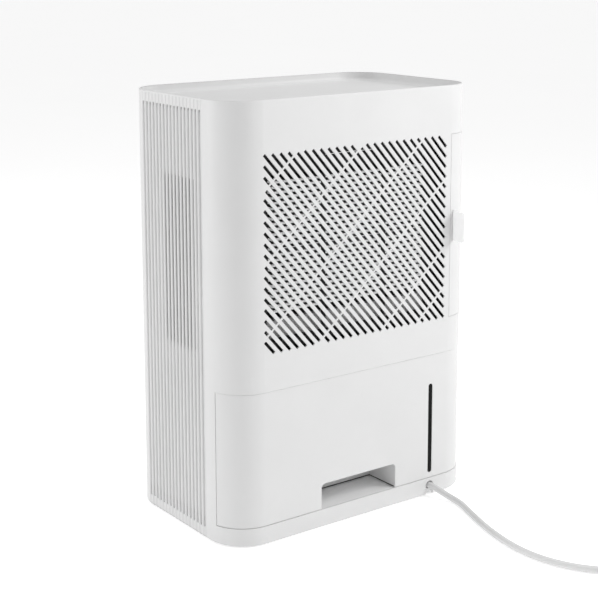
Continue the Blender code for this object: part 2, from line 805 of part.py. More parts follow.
def tank_panel(holder):
    bottom, top = DECK_TOP + GAP, TANK_TOP - GAP
    panel = part(
        "tank_panel",
        half_rear(plan_block(TANK_PANEL_INSET, bottom, top), TANK_EDGE_Y + GAP),
        WHITE_ABS,
        holder,
    )
    hollow = cutter("panel_hollow", plan_block(TANK_PANEL_INSET + WALL, -LARGE, LARGE), holder)
    cut(panel, hollow)
    inner_face = REAR - TANK_PANEL_INSET - WALL
    pocket = pocket_block(WALL, inner_face + WALL / 2, WALL)
    pocket = bisected(pocket, (0, 0, DECK_TOP + POCKET_FOOT_GAP), (0, 0, -1))
    join(panel, cutter("pocket_walls", pocket, holder))
    cut(panel, cutter("pocket_space", pocket_block(0, DEPTH, 0), holder))
    window = block(
        (WINDOW_X - WINDOW_WIDTH / 2, inner_face - WALL, WINDOW_BOTTOM),
        (WINDOW_X + WINDOW_WIDTH / 2, DEPTH, WINDOW_TOP),
    )
    round_edges(window, lambda edge: runs_along(edge, 1), WINDOW_WIDTH / 2 * 0.98, 4)
    cut(panel, cutter("window_slot", window, holder))
    rear = inner_face - TOUCH
    lens = block(
        (WINDOW_X - WINDOW_WIDTH / 2 - LENS_MARGIN, rear - LENS_THICKNESS, WINDOW_BOTTOM - LENS_MARGIN),
        (WINDOW_X + WINDOW_WIDTH / 2 + LENS_MARGIN, rear, WINDOW_TOP + LENS_MARGIN),
    )
    part("level_window", lens, DARK_LENS, holder)


def bucket_block(wall, low, high):
    inset = TANK_PANEL_INSET + WALL + BUCKET_GAP + wall
    return half_rear(plan_block(inset, low, high), BUCKET_FRONT_Y + wall)


def tank_bucket(holder):
    low = DECK_TOP + GAP
    high = BUCKET_TOP
    bucket = part("tank_bucket", bucket_block(0, low, high), CLEAR_TANK, holder)
    step = WALL + BUCKET_GAP / 2
    cut(bucket, cutter("pocket_step", pocket_block(step, DEPTH, step), holder))
    inside = cutter("bucket_inside", bucket_block(BUCKET_WALL, low + BUCKET_WALL, LARGE), holder)
    cut(
        inside,
        cutter(
            "step_inside", pocket_block(step + BUCKET_WALL, DEPTH, step + BUCKET_WALL), holder
        ),
    )
    cut(bucket, inside)
    lid = part(
        "tank_lid", bucket_block(0, high + TOUCH, high + TOUCH + LID_THICKNESS), CLEAR_TANK, holder
    )
    y = SHROUD_MIDDLE_Y
    cut(
        lid,
        cutter(
            "drip_hole",
            rod((SPOUT_X, y, high - WALL), (SPOUT_X, y, TANK_TOP), DRIP_HOLE_RADIUS),
            holder,
        ),
    )


def tank_float(holder, tank):
    start = FLOAT_PIVOT
    end = start + REARWARD * FLOAT_PIN_LENGTH
    part("float_pin", rod(start, end, FLOAT_PIN_RADIUS, 16), ZINC_STEEL, tank, smooth=True)
    near = start.y + FLOAT_FROM_PIN_START
    body_x = start.x - FLOAT_ARM_LENGTH
    arm_low = start.z - FLOAT_ARM_HEIGHT / 2
    body = part(
        "tank_float",
        round_edges(
            block(
                (body_x, near, arm_low - FLOAT_HEIGHT),
                (body_x + FLOAT_LENGTH, near + FLOAT_WIDTH, arm_low + FLOAT_ROUNDING / 2),
            ),
            lambda edge: True,
            FLOAT_ROUNDING,
            2,
        ),
        FOAM,
        holder,
    )
    middle_y = near + FLOAT_WIDTH / 2
    arm = block(
        (body_x + FLOAT_LENGTH / 2, middle_y - FLOAT_ARM_WIDTH / 2, arm_low),
        (start.x + FLOAT_ARM_HEIGHT / 2, middle_y + FLOAT_ARM_WIDTH / 2, arm_low + FLOAT_ARM_HEIGHT),
    )
    join(body, cutter("float_arm", arm, holder))
    bore = rod(start - REARWARD * WALL, end, FLOAT_PIN_RADIUS + FLOAT_CLEARANCE, 16)
    cut(body, cutter("float_bore", bore, holder))


# Air filter: frame, net, corner cover and pull tab


def air_filter(holder):
    front, rear = FILTER_FRONT_Y, FILTER_REAR_Y
    low = FILTER_BOTTOM + FILTER_EDGE_GAP
    high = FILTER_TOP - FILTER_EDGE_GAP
    left, right = GRILLE_LEFT + FILTER_PAST_GRILLE, FILTER_SEAM_X + FILTER_EDGE_GAP
    frame = part("filter_frame", block((right, front, low), (left, rear, high)), INNER_ABS, holder)
    width = (left - right - 2 * FILTER_BAR - (FILTER_COLUMNS - 1) * FILTER_CROSS_BAR) / FILTER_COLUMNS
    height = (high - low - 2 * FILTER_BAR - (FILTER_ROWS - 1) * FILTER_CROSS_BAR) / FILTER_ROWS
    panes = []
    for column in range(FILTER_COLUMNS):
        for row in range(FILTER_ROWS):
            x = right + FILTER_BAR + column * (width + FILTER_CROSS_BAR)
            z = low + FILTER_BAR + row * (height + FILTER_CROSS_BAR)
            panes.append(block((x, 0, z), (x + width, DEPTH, z + height)))
    cut(frame, cutter("filter_panes", merged(panes), holder))
    mid = (low + high) / 2
    tongue = block(
        (right - TONGUE_LENGTH, front + TONGUE_STEP, mid - TONGUE_HEIGHT / 2),
        (right + TONGUE_STEP, rear - TONGUE_STEP, mid + TONGUE_HEIGHT / 2),
    )
    join(frame, cutter("filter_tongue", tongue, holder))
    part(
        "filter_net",
        block((right, front - TOUCH - FILTER_NET, low), (left, front - TOUCH, high)),
        NET,
        holder,
    )
    cover = half_rear(plan_block(0, FILTER_BOTTOM + GAP, FILTER_TOP - GAP), FILTER_COVER_Y + GAP)
    cover = bisected(cover, (FILTER_SEAM_X - GAP, 0, 0), (1, 0, 0))
    cover = part("filter_cover", cover, WHITE_ABS, holder)
    cut(cover, cutter("filter_cover_hollow", plan_block(WALL, 0, LARGE), holder))
    tab_rear = REAR + TAB_REACH
    half = TAB_THICKNESS / 2
    tab_low = REAR - TAB_ROOT
    tab_bottom = mid - TAB_HEIGHT / 2
    tab_top = mid + TAB_HEIGHT / 2
    tab = block((TAB_X - half, tab_low, tab_bottom), (TAB_X + half, tab_rear, tab_top))
    round_edges(
        tab, lambda edge: runs_along(edge, 0) and middle(edge).y > REAR, TAB_CORNER, 5
    )
    part("filter_tab", tab, TAB_PLASTIC, holder)
    slit = block(
        (TAB_X - half - TOUCH, tab_low - WALL, tab_bottom - TOUCH),
        (TAB_X + half + TOUCH, tab_rear, tab_top + TOUCH),
    )
    cut(cover, cutter("tab_slit", slit, holder))


# Inside: deck, divider, shroud, coils, drip tray


def inside_walls():
    outer = WALL + GAP
    high = TANK_TOP + GAP + WALL
    deck = half_rear(plan_block(outer, TANK_TOP + GAP, high), DIVIDER_FRONT_Y)
    deck = part("tank_bay_deck", deck, INNER_ABS)
    y = SHROUD_MIDDLE_Y
    spout = rod((SPOUT_X, y, 0), (SPOUT_X, y, COIL_BOTTOM), SPOUT_RADIUS + SPOUT_CLEARANCE)
    spout = cutter("spout_hole", spout)
    cut(deck, spout)
    part(
        "divider_wall",
        block(
            (-SIDE + outer, DIVIDER_FRONT_Y, DECK_TOP + TOUCH),
            (SIDE - outer, DIVIDER_REAR_Y, TANK_TOP + GAP - TOUCH),
        ),
        INNER_ABS,
    )
    shroud = part(
        "coil_shroud",
        block(
            (SHROUD_RIGHT, SHROUD_FRONT_Y, SHROUD_BOTTOM), (SHROUD_LEFT, SHROUD_REAR_Y, SHROUD_TOP)
        ),
        INNER_ABS,
    )
    tray_low = COIL_BOTTOM - COIL_MARGIN - TRAY_HEIGHT
    window = block(
        (COIL_RIGHT - COIL_MARGIN, 0, tray_low - COIL_MARGIN),
        (COIL_LEFT + COIL_MARGIN, DEPTH, COIL_TOP + COIL_MARGIN),
    )
    cut(shroud, cutter("shroud_window", window), spout)
    depth = COIL_SPACING + 2 * COIL_THICKNESS
    tray = part(
        "drip_tray",
        block((COIL_RIGHT, y - depth / 2, tray_low), (COIL_LEFT, y + depth / 2, tray_low + TRAY_HEIGHT)),
        WHITE_ABS,
    )
    trough = block(
        (COIL_RIGHT + TRAY_WALL, y - depth / 2 + TRAY_WALL, tray_low + TRAY_WALL),
        (COIL_LEFT - TRAY_WALL, y + depth / 2 - TRAY_WALL, COIL_BOTTOM),
    )
    cut(tray, cutter("tray_trough", trough))
    join(
        tray,
        cutter(
            "tray_spout", rod((SPOUT_X, y, SPOUT_END), (SPOUT_X, y, tray_low + TRAY_WALL / 2), SPOUT_RADIUS)
        ),
    )
    cut(
        tray,
        cutter(
            "spout_bore",
            rod((SPOUT_X, y, 0), (SPOUT_X, y, COIL_BOTTOM), SPOUT_RADIUS - SPOUT_WALL),
        ),
    )
    for name, side in (("evaporator", 1), ("condenser", -1)):
        near = y + side * COIL_SPACING / 2
        far = near + side * COIL_THICKNESS
        core = part(
            name,
            block((COIL_RIGHT, min(near, far), COIL_BOTTOM), (COIL_LEFT, max(near, far), COIL_TOP)),
            ALUMINIUM,
        )
        spine = near + side * FIN_SPINE
        pitch = (COIL_LEFT - COIL_RIGHT - FIN_THICKNESS) / FIN_GAPS
        gaps = []
        for k in range(FIN_GAPS):
            x = COIL_RIGHT + FIN_THICKNESS + k * pitch
            low_y, high_y = sorted((spine, far + side * WALL))
            gaps.append(
                block(
                    (x, low_y, COIL_BOTTOM - WALL),
                    (x + pitch - FIN_THICKNESS, high_y, COIL_TOP + WALL),
                )
            )
        cut(core, cutter(f"{name}_gaps", merged(gaps)))


# Fan: scroll housing, inlet plate, motor and wheel


def scroll_shape(radius, front, rear, outlet):
    """The housing's outline: half round on one side, open duct on the other."""
    bm = block((FAN_X - radius, front, FAN_Z - radius), (outlet, rear, FAN_Z + radius))
    return round_edges(
        bm, lambda edge: runs_along(edge, 1) and middle(edge).x < FAN_X, radius * 0.998, 14
    )


def fan_housing():
    outer = SCROLL_RADIUS + SCROLL_WALL
    housing = part(
        "fan_scroll",
        scroll_shape(outer, SCROLL_FRONT_Y, SCROLL_REAR_Y, SIDE - SCROLL_FROM_SIDE),
        INNER_ABS,
    )
    hollow = scroll_shape(SCROLL_RADIUS, SCROLL_FRONT_Y + SCROLL_WALL, DEPTH, WIDTH)
    centre = Vector((FAN_X, 0, FAN_Z))
    shaft_hole = rod(
        centre + REARWARD * (SCROLL_FRONT_Y - WALL),
        centre + REARWARD * (SCROLL_FRONT_Y + 2 * WALL),
        SHAFT_RADIUS + SHAFT_CLEARANCE,
    )
    cut(housing, cutter("scroll_hollow", hollow), cutter("shaft_hole", shaft_hole))
    plate = part(
        "fan_inlet_plate",
        scroll_shape(
            outer, SCROLL_REAR_Y + TOUCH, SCROLL_REAR_Y + TOUCH + SCROLL_WALL, SIDE - SCROLL_FROM_SIDE
        ),
        INNER_ABS,
    )
    inlet = rod(centre, centre + REARWARD * DEPTH, INLET_RADIUS, 40)
    cut(plate, cutter("fan_inlet", inlet))
    motor_rear = SCROLL_FRONT_Y - TOUCH
    motor = part(
        "fan_motor",
        round_edges(
            rod(
                centre + REARWARD * (motor_rear - MOTOR_LENGTH),
                centre + REARWARD * motor_rear,
                MOTOR_RADIUS,
                32,
            ),
            lambda edge: not runs_along(edge, 1) and middle(edge).y < motor_rear - MOTOR_LENGTH / 2,
            MOTOR_ROUNDING,
            3,
        ),
        ZINC_STEEL,
        smooth=True,
    )
    socket = rod(
        centre + REARWARD * (motor_rear - MOTOR_LENGTH / 2),
        centre + REARWARD * (motor_rear + WALL),
        SHAFT_RADIUS + SHAFT_RUNNING_GAP,
        16,
    )
    cut(motor, cutter("motor_socket", socket))


def fan_wheel(holder):
    centre = Vector((FAN_X, 0, FAN_Z))
    front = SCROLL_FRONT_Y + SCROLL_WALL + AXIAL_GAP
    rear = front + FAN_LENGTH
    wheel = part(
        "fan_wheel",
        rod(centre + REARWARD * front, centre + REARWARD * (front + FAN_DISC), FAN_RADIUS, 48),
        FAN_PLASTIC,
        holder,
    )
    blades = []
    middle_radius = FAN_RADIUS - BLADE_CHORD / 2 - BLADE_FROM_RIM
    for k in range(FAN_BLADES):
        blade = block(
            (-BLADE_CHORD / 2, front + FAN_DISC / 2, -BLADE_THICKNESS / 2),
            (BLADE_CHORD / 2, rear - FAN_DISC / 2, BLADE_THICKNESS / 2),
        )
        pitch = Matrix.Rotation(BLADE_PITCH, 3, "Y")
        bmesh.ops.rotate(blade, cent=(0, 0, 0), matrix=pitch, verts=blade.verts)
        bmesh.ops.translate(blade, vec=(middle_radius, 0, 0), verts=blade.verts)
        turn = Matrix.Rotation(2 * math.pi * k / FAN_BLADES, 3, "Y")
        bmesh.ops.rotate(blade, cent=(0, 0, 0), matrix=turn, verts=blade.verts)
        bmesh.ops.translate(blade, vec=centre, verts=blade.verts)
        blades.append(blade)
    ring = cutter(
        "fan_ring",
        rod(centre + REARWARD * (rear - FAN_DISC), centre + REARWARD * rear, FAN_RADIUS, 48),
        holder,
    )
    bore = rod(
        centre + REARWARD * (rear - 2 * FAN_DISC),
        centre + REARWARD * (rear + FAN_DISC),
        FAN_RADIUS - BLADE_CHORD,
        40,
    )
    cut(ring, cutter("fan_ring_bore", bore, holder))
    hub = rod(
        centre + REARWARD * (front + FAN_DISC / 2),
        centre + REARWARD * (front + FAN_LENGTH / 2),
        FAN_HUB_RADIUS,
    )
    join(wheel, cutter("fan_blades", merged(blades), holder), ring, cutter("fan_hub", hub, holder))
    socket = rod(
        centre + REARWARD * (front - WALL),
        centre + REARWARD * (front + FAN_LENGTH / 2 - WALL),
        SHAFT_RADIUS + TOUCH,
        16,
    )
    cut(wheel, cutter("hub_socket", socket, holder))
    motor_rear = SCROLL_FRONT_Y - TOUCH
    part(
        "fan_shaft",
        rod(
            centre + REARWARD * (motor_rear - MOTOR_LENGTH / 2 + TOUCH),
            centre + REARWARD * (front + FAN_LENGTH / 2 - WALL - TOUCH),
            SHAFT_RADIUS,
            16,
        ),
        ZINC_STEEL,
        holder,
        smooth=True,
    )


# Refrigeration: compressor, its mounts, pipes and drier


def stud_places():
    """The compressor's three studs, on a circle about its axis."""
    return [
        (
            COMPRESSOR_X + GROMMET_CIRCLE * math.cos(math.radians(angle)),
            COMPRESSOR_Y + GROMMET_CIRCLE * math.sin(math.radians(angle)),
        )
        for angle in GROMMET_ANGLES
    ]


def compressor():
    bottom, top = COMPRESSOR_BOTTOM, COMPRESSOR_BOTTOM + COMPRESSOR_HEIGHT
    steps = 5
    upper, lower = [], []
    for k in range(steps + 1):
        angle = math.pi / 2 * k / steps
        radius = COMPRESSOR_RADIUS * math.sin(angle)
        rise = COMPRESSOR_DOME * math.cos(angle)
        upper.append((radius, top - COMPRESSOR_DOME + rise))
        lower.append((radius, bottom + COMPRESSOR_DOME - rise))
    centre = (COMPRESSOR_X, COMPRESSOR_Y, 0)
    shell = turned("compressor", upper + lower[::-1], centre, BLACK_STEEL)
    plate_low = bottom - PLATE_THICKNESS
    skirt = rod(
        (COMPRESSOR_X, COMPRESSOR_Y, plate_low),
        (COMPRESSOR_X, COMPRESSOR_Y, bottom + SKIRT_HEIGHT),
        SKIRT_RADIUS,
    )
    join(shell, cutter("compressor_skirt", skirt))
    for number, (x, y) in enumerate(stud_places(), 1):
        reach = GROMMET_RADIUS + PLATE_MARGIN
        low = Vector((min(x, COMPRESSOR_X), y - reach, plate_low))
        high = Vector((max(x, COMPRESSOR_X), y + reach, plate_low + PLATE_THICKNESS))
        low.x -= reach if x < COMPRESSOR_X else 0
        high.x += reach if x > COMPRESSOR_X else 0
        join(shell, cutter(f"mount_arm_{number}", block(low, high)))
        hole = rod((x, y, 0), (x, y, bottom), STUD_RADIUS + TOUCH, 12)
        cut(shell, cutter(f"mount_hole_{number}", hole))
        grommet_low, grommet_high = DECK_TOP + TOUCH, plate_low - TOUCH
        waist = (grommet_low + grommet_high) / 2
        turned(
            f"compressor_grommet_{number}",
            (
                (STUD_RADIUS + TOUCH, grommet_high),
                (GROMMET_RADIUS, grommet_high),
                (GROMMET_WAIST, waist),
                (GROMMET_RADIUS, grommet_low),
                (STUD_RADIUS + TOUCH, grommet_low),
                (STUD_RADIUS + TOUCH, grommet_high),
            ),
            (x, y, 0),
            RUBBER,
            steps=20,
        )
        top_of_plate = plate_low + PLATE_THICKNESS
        stud = part(
            f"compressor_stud_{number}",
            rod((x, y, DECK_TOP - DECK_THICKNESS), (x, y, top_of_plate + 2 * TOUCH), STUD_RADIUS, 12),
            ZINC_STEEL,
        )
        head = rod(
            (x, y, top_of_plate + TOUCH),
            (x, y, top_of_plate + TOUCH + STUD_HEAD_HEIGHT),
            STUD_HEAD,
            6,
        )
        join(stud, cutter(f"stud_head_{number}", head))


def beside_compressor(off_axis):
    """Where a pipe leaves the compressor's round side, off_axis from its middle."""
    return COMPRESSOR_X - math.sqrt(COMPRESSOR_RADIUS**2 - off_axis**2) - PIPE_START_GAP


def bent(points):
    """A pipe's points, with each corner rounded off by an arc of two chords."""
    points = [Vector(p) for p in points]
    kept = [points[0]]
    for a, b, c in zip(points, points[1:], points[2:]):
        before, after = (a - b).normalized() * PIPE_BEND, (c - b).normalized() * PIPE_BEND
        kept += [b + before, b + (before + after) * 0.3, b + after]
    return [*kept, points[-1]]


def pipework():
    top = COMPRESSOR_BOTTOM + COMPRESSOR_HEIGHT
    run = PIPE_RUN_X
    discharge_y = COMPRESSOR_Y - DISCHARGE_OFF_AXIS
    suction_y = COMPRESSOR_Y + SUCTION_OFF_AXIS
    end_x = SHROUD_RIGHT - TOUCH
    from_middle = (COIL_SPACING + COIL_THICKNESS) / 2
    condenser_y = SHROUD_MIDDLE_Y - from_middle
    evaporator_y = SHROUD_MIDDLE_Y + from_middle
    low, high = COIL_BOTTOM + PIPE_FROM_COIL_ENDS, COIL_TOP - PIPE_FROM_COIL_ENDS
    discharge_z, suction_z = top - DISCHARGE_BELOW_TOP, top - SUCTION_BELOW_TOP
    discharge = (
        (beside_compressor(DISCHARGE_OFF_AXIS), discharge_y, discharge_z),
        (run, discharge_y, discharge_z),
        (run, discharge_y, high),
        (run, condenser_y, high),
        (end_x, condenser_y, high),
    )
    suction = (
        (beside_compressor(SUCTION_OFF_AXIS), suction_y, suction_z),
        (run, suction_y, suction_z),
        (run, suction_y, low),
        (run, evaporator_y - PIPE_BEND * 2, low),
        (end_x - PIPE_BEND * 2, evaporator_y, low),
        (end_x, evaporator_y, low),
    )
    tube("discharge_pipe", bent(discharge), PIPE_RADIUS, COPPER)
    tube("suction_pipe", bent(suction), PIPE_RADIUS, COPPER)
    drier_y = condenser_y - DRIER_FROM_CONDENSER
    drier_low, drier_high = low + DRIER_ABOVE_SUCTION, high - DRIER_BELOW_DISCHARGE
    drier_length = drier_high - drier_low
    neck = FINE_PIPE_RADIUS * 2
    profile = (
        (0, drier_length),
        (neck, drier_length),
        (DRIER_RADIUS, drier_length - DRIER_CONE),
        (DRIER_RADIUS, DRIER_CONE),
        (neck, 0),
        (0, 0),
    )
    turned("filter_drier", profile, (run, drier_y, drier_low), COPPER, steps=20)
    step = PIPE_BEND * 2
    liquid = (
        (run, drier_y, drier_low - TOUCH),
        (run, drier_y, drier_low - step),
        (run, condenser_y, drier_low - step),
        (end_x, condenser_y, drier_low - step),
    )
    tube("liquid_pipe", bent(liquid), FINE_PIPE_RADIUS, COPPER)
    feed = (
        (run, drier_y, drier_high + TOUCH),
        (run, drier_y, drier_high + step),
        (run, evaporator_y - step, drier_high + step),
        (end_x - step, evaporator_y, drier_high + step),
        (end_x, evaporator_y, drier_high + step),
    )
    tube("capillary_pipe", bent(feed), FINE_PIPE_RADIUS, COPPER)


# Controls and electrics


def button_places():
    first = BUTTON_ROW_X - (BUTTONS - 1) * BUTTON_PITCH / 2
    return [first + k * BUTTON_PITCH for k in range(BUTTONS)]


def controls():
    front = -REAR
    bezel = part(
        "control_bezel",
        block(
            (-PANEL_WIDTH / 2, front + TOUCH, PANEL_Z - PANEL_HEIGHT / 2),
            (PANEL_WIDTH / 2, front + WALL, PANEL_Z + PANEL_HEIGHT / 2),
        ),
        INNER_ABS,
    )
    holes = merged(
        rod(
            (x, front - WALL, PANEL_Z),
            (x, front + 3 * WALL, PANEL_Z),
            BUTTON_RADIUS + BUTTON_CLEARANCE,
        )
        for x in button_places()
    )
    pane = block(
        (DISPLAY_X - DISPLAY_WIDTH / 2, front - WALL, PANEL_Z - DISPLAY_HEIGHT / 2),
        (DISPLAY_X + DISPLAY_WIDTH / 2, front + 3 * WALL, PANEL_Z + DISPLAY_HEIGHT / 2),
    )
    cut(bezel, cutter("button_holes", holes), cutter("display_hole", pane))
    part(
        "display_lens",
        block(
            (
                DISPLAY_X - DISPLAY_WIDTH / 2 + TOUCH,
                front + TOUCH,
                PANEL_Z - DISPLAY_HEIGHT / 2 + TOUCH,
            ),
            (
                DISPLAY_X + DISPLAY_WIDTH / 2 - TOUCH,
                front + WALL,
                PANEL_Z + DISPLAY_HEIGHT / 2 - TOUCH,
            ),
        ),
        DARK_LENS,
    )
    for number, x in enumerate(button_places(), 1):
        holder = Holder(f"button_place_{number}", (x, front, PANEL_Z), STAND)
        part(
            f"button_{number}",
            rod(
                (x, front + TOUCH, PANEL_Z),
                (x, front + TOUCH + BUTTON_DEPTH, PANEL_Z),
                BUTTON_RADIUS,
            ),
            WHITE_ABS,
            holder,
            smooth=True,
        )
    board_front = front + TOUCH + BUTTON_DEPTH + BOARD_STANDOFF
    part(
        "control_board",
        block(
            (
                -PANEL_WIDTH / 2 + BOARD_MARGIN,
                board_front,
                PANEL_Z - PANEL_HEIGHT / 2 + BOARD_MARGIN / 2,
            ),
            (
                PANEL_WIDTH / 2 - BOARD_MARGIN,
                board_front + BOARD_THICKNESS,
                PANEL_Z + PANEL_HEIGHT / 2 - BOARD_MARGIN / 2,
            ),
        ),
        BOARD_GREEN,
    )


def electrics():
    mount_end = COMPRESSOR_X + GROMMET_CIRCLE + GROMMET_RADIUS + PLATE_MARGIN
    low = Vector(
        (
            mount_end + ELECTRICS_FROM_MOUNT,
            ELECTRICS_FROM_FRONT - REAR,
            DECK_TOP + ELECTRICS_ABOVE_DECK,
        )
    )
    high = low + Vector((ELECTRICS_WIDTH, ELECTRICS_DEPTH, ELECTRICS_HEIGHT))
    part(
        "electrics_box",
        round_edges(block(low, high), lambda edge: True, ELECTRICS_ROUNDING, 2),
        INNER_ABS,
    )
    start = Vector(
        (low.x + CAPACITOR_IN, (low.y + high.y) / 2, high.z + CAPACITOR_RADIUS + TOUCH)
    )
    end = start + Vector((CAPACITOR_LENGTH, 0, 0))
    part("run_capacitor", rod(start, end, CAPACITOR_RADIUS, 28), ZINC_STEEL, smooth=True)
    rear = FILTER_FRONT_Y - TOUCH - FILTER_NET - SENSOR_TO_NET
    bottom = SHROUD_TOP + SENSOR_TO_NET
    part(
        "humidity_sensor",
        block(
            (SENSOR_X - SENSOR_WIDTH / 2, rear - SENSOR_DEPTH, bottom),
            (SENSOR_X + SENSOR_WIDTH / 2, rear, bottom + SENSOR_HEIGHT),
        ),
        WHITE_ABS,
    )
    x = FLOAT_PIVOT.x - FLOAT_ARM_LENGTH
    rear = DIVIDER_FRONT_Y - TOUCH
    part(
        "float_switch",
        block(
            (x - SWITCH_WIDTH / 2, rear - SWITCH_DEPTH, FLOAT_PIVOT.z - SWITCH_HEIGHT / 2),
            (x + SWITCH_WIDTH / 2, rear, FLOAT_PIVOT.z + SWITCH_HEIGHT / 2),
        ),
        INNER_ABS,
    )


# Supply lead: gland, clamp, lead, coil and plug


def lead_outlet():
    rear = REAR - GLAND_SET_BACK
    clamp_face = REAR - CLAMP_FROM_REAR
    half = GLAND_WIDTH / 2
    low, high = BASE_UNDERSIDE, DECK_TOP - DECK_THICKNESS - 2 * TOUCH
    gland = part(
        "lead_gland",
        block((OUTLET_X - half, rear - GLAND_THICKNESS, low), (OUTLET_X + half, rear, high)),
        WHITE_ABS,
    )
    hole = rod(
        (OUTLET_X, rear - 3 * GLAND_THICKNESS, OUTLET_Z),
        (OUTLET_X, DEPTH, OUTLET_Z),
        GLAND_HOLE_RADIUS,
    )
    cut(gland, cutter("gland_hole", hole))
    part(
        "lead_clamp",
        block(
            (OUTLET_X - CLAMP_WIDTH / 2, clamp_face - CLAMP_LENGTH, low),
            (OUTLET_X + CLAMP_WIDTH / 2, clamp_face, high),
        ),
        INNER_ABS,
    )


def supply_lead():
    step = 2.5 * 2 * LEAD_RADIUS
    outer = COIL_MID_RADIUS + COIL_COLUMNS * LEAD_RADIUS
    inner = COIL_MID_RADIUS - COIL_COLUMNS * LEAD_RADIUS
    height = COIL_LAYERS * 2 * LEAD_RADIUS
    outlet = Vector((OUTLET_X, REAR, 0)) + STAND.empty.location
    centre = outlet + Vector(COIL_FROM_OUTLET)
    route = [outlet + Vector(point) for point in LEAD_ROUTE]
    tube("supply_lead", smooth_path(route, step), LEAD_RADIUS, LEAD_PVC, None)
    soft = LEAD_RADIUS * 0.6
    profile = (
        (inner, height - soft),
        (inner + soft, height),
        (outer - soft, height),
        (outer, height - soft),
        (outer, soft + TOUCH),
        (outer - soft, TOUCH),
        (inner + soft, TOUCH),
        (inner, soft + TOUCH),
        (inner, height - soft),
    )
    turned("lead_coil", profile, centre, LEAD_PVC, None, steps=36)
    turn_radius = COIL_MID_RADIUS + (COIL_COLUMNS - 1) * LEAD_RADIUS
    x = centre.x - turn_radius
    z = PLUG_HEIGHT / 2 + TOUCH
    leaves = centre.y - math.sqrt(outer**2 - (turn_radius - LEAD_RADIUS) ** 2) - TOUCH
    boot = leaves - TAIL_LENGTH
    tube(
        "plug_lead",
        [(x, leaves - TAIL_LENGTH * k / 3, z) for k in range(4)],
        LEAD_RADIUS,
        LEAD_PVC,
        None,
    )
    face = boot - TOUCH - PLUG_BOOT - PLUG_LENGTH
    half = PLUG_WIDTH / 2
    body = round_edges(
        block((x - half, face, TOUCH), (x + half, face + PLUG_LENGTH, TOUCH + PLUG_HEIGHT)),
        lambda edge: runs_along(edge, 1),
        PLUG_CORNER,
        4,
    )
    plug = part("lead_plug", body, LEAD_PVC, None)
    sleeve = rod(
        (x, face + PLUG_LENGTH - PLUG_BOOT_OVERLAP, z),
        (x, boot - TOUCH, z),
        PLUG_BOOT_RADIUS + PLUG_BOOT_TAPER,
        20,
        PLUG_BOOT_RADIUS - PLUG_BOOT_TAPER,
    )
    join(plug, cutter("plug_boot", sleeve, None))
    for number, side in enumerate((-1, 1), 1):
        blade_x = x + side * PIN_SPACING / 2
        part(
            f"plug_blade_{number}",
            block(
                (blade_x - PIN_THICKNESS / 2, face - TOUCH - BLADE_LENGTH, z - BLADE_HEIGHT / 2),
                (blade_x + PIN_THICKNESS / 2, face - TOUCH, z + BLADE_HEIGHT / 2),
            ),
            BRASS,
            None,
        )
    earth_z = z + BLADE_HEIGHT
    part(
        "plug_earth_pin",
        rod(
            (x, face - TOUCH - BLADE_LENGTH, earth_z), (x, face - TOUCH, earth_z), EARTH_PIN_RADIUS, 16
        ),
        BRASS,
        None,
        smooth=True,
    )


TANK = Holder("tank_slide", (0, REAR, DECK_TOP), STAND)
FLOAT = Holder("float_hinge", FLOAT_PIVOT, TANK)
FILTER = Holder("filter_slide", (FILTER_SEAM_X, REAR, FILTER_BOTTOM), STAND)
FAN = Holder("fan_axis", (FAN_X, 0, FAN_Z), STAND)

front_cover()
rear_cover()
top_cover()
base_pan()
tank_panel(TANK)
tank_bucket(TANK)
tank_float(FLOAT, TANK)
air_filter(FILTER)
inside_walls()
fan_housing()
fan_wheel(FAN)
compressor()
pipework()
controls()
electrics()
lead_outlet()
supply_lead()
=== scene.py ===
import json
import math

import bmesh
import bpy
from mathutils import Matrix, Vector

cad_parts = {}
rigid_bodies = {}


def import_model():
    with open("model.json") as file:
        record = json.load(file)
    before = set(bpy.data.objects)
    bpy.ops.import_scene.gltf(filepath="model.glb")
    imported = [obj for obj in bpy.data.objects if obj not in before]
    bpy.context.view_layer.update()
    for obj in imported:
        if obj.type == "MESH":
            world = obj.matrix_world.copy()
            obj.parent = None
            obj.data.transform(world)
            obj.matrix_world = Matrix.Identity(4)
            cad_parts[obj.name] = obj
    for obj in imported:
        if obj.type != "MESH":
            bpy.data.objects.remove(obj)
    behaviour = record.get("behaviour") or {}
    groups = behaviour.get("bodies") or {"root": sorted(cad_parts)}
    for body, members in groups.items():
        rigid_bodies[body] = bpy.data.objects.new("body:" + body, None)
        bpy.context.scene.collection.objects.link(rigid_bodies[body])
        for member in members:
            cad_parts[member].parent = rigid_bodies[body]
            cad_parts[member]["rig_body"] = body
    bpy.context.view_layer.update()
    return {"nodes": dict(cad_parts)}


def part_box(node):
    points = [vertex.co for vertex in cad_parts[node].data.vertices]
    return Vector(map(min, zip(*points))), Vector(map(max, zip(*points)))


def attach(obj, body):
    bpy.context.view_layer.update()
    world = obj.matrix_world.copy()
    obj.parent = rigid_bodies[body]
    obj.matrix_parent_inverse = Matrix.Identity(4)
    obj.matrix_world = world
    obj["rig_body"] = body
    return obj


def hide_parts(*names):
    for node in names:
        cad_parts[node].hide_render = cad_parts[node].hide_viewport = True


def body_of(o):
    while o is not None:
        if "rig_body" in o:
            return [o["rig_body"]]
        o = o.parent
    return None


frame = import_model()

# The room: a plain pale floor, lit a little from below as a shooting table is, under soft and even
# studio light, with a lamp off each side of the corner that faces the camera and one overhead.  The
# camera looks slightly down on the rear left corner, from a little above the object's top.
MM = 0.001
SCENE = bpy.context.scene


def srgb(code):
    """A linear colour from an sRGB hex value."""
    parts = [int(code[k : k + 2], 16) / 255 for k in (1, 3, 5)]
    return (*(p / 12.92 if p <= 0.04045 else ((p + 0.055) / 1.055) ** 2.4 for p in parts), 1.0)


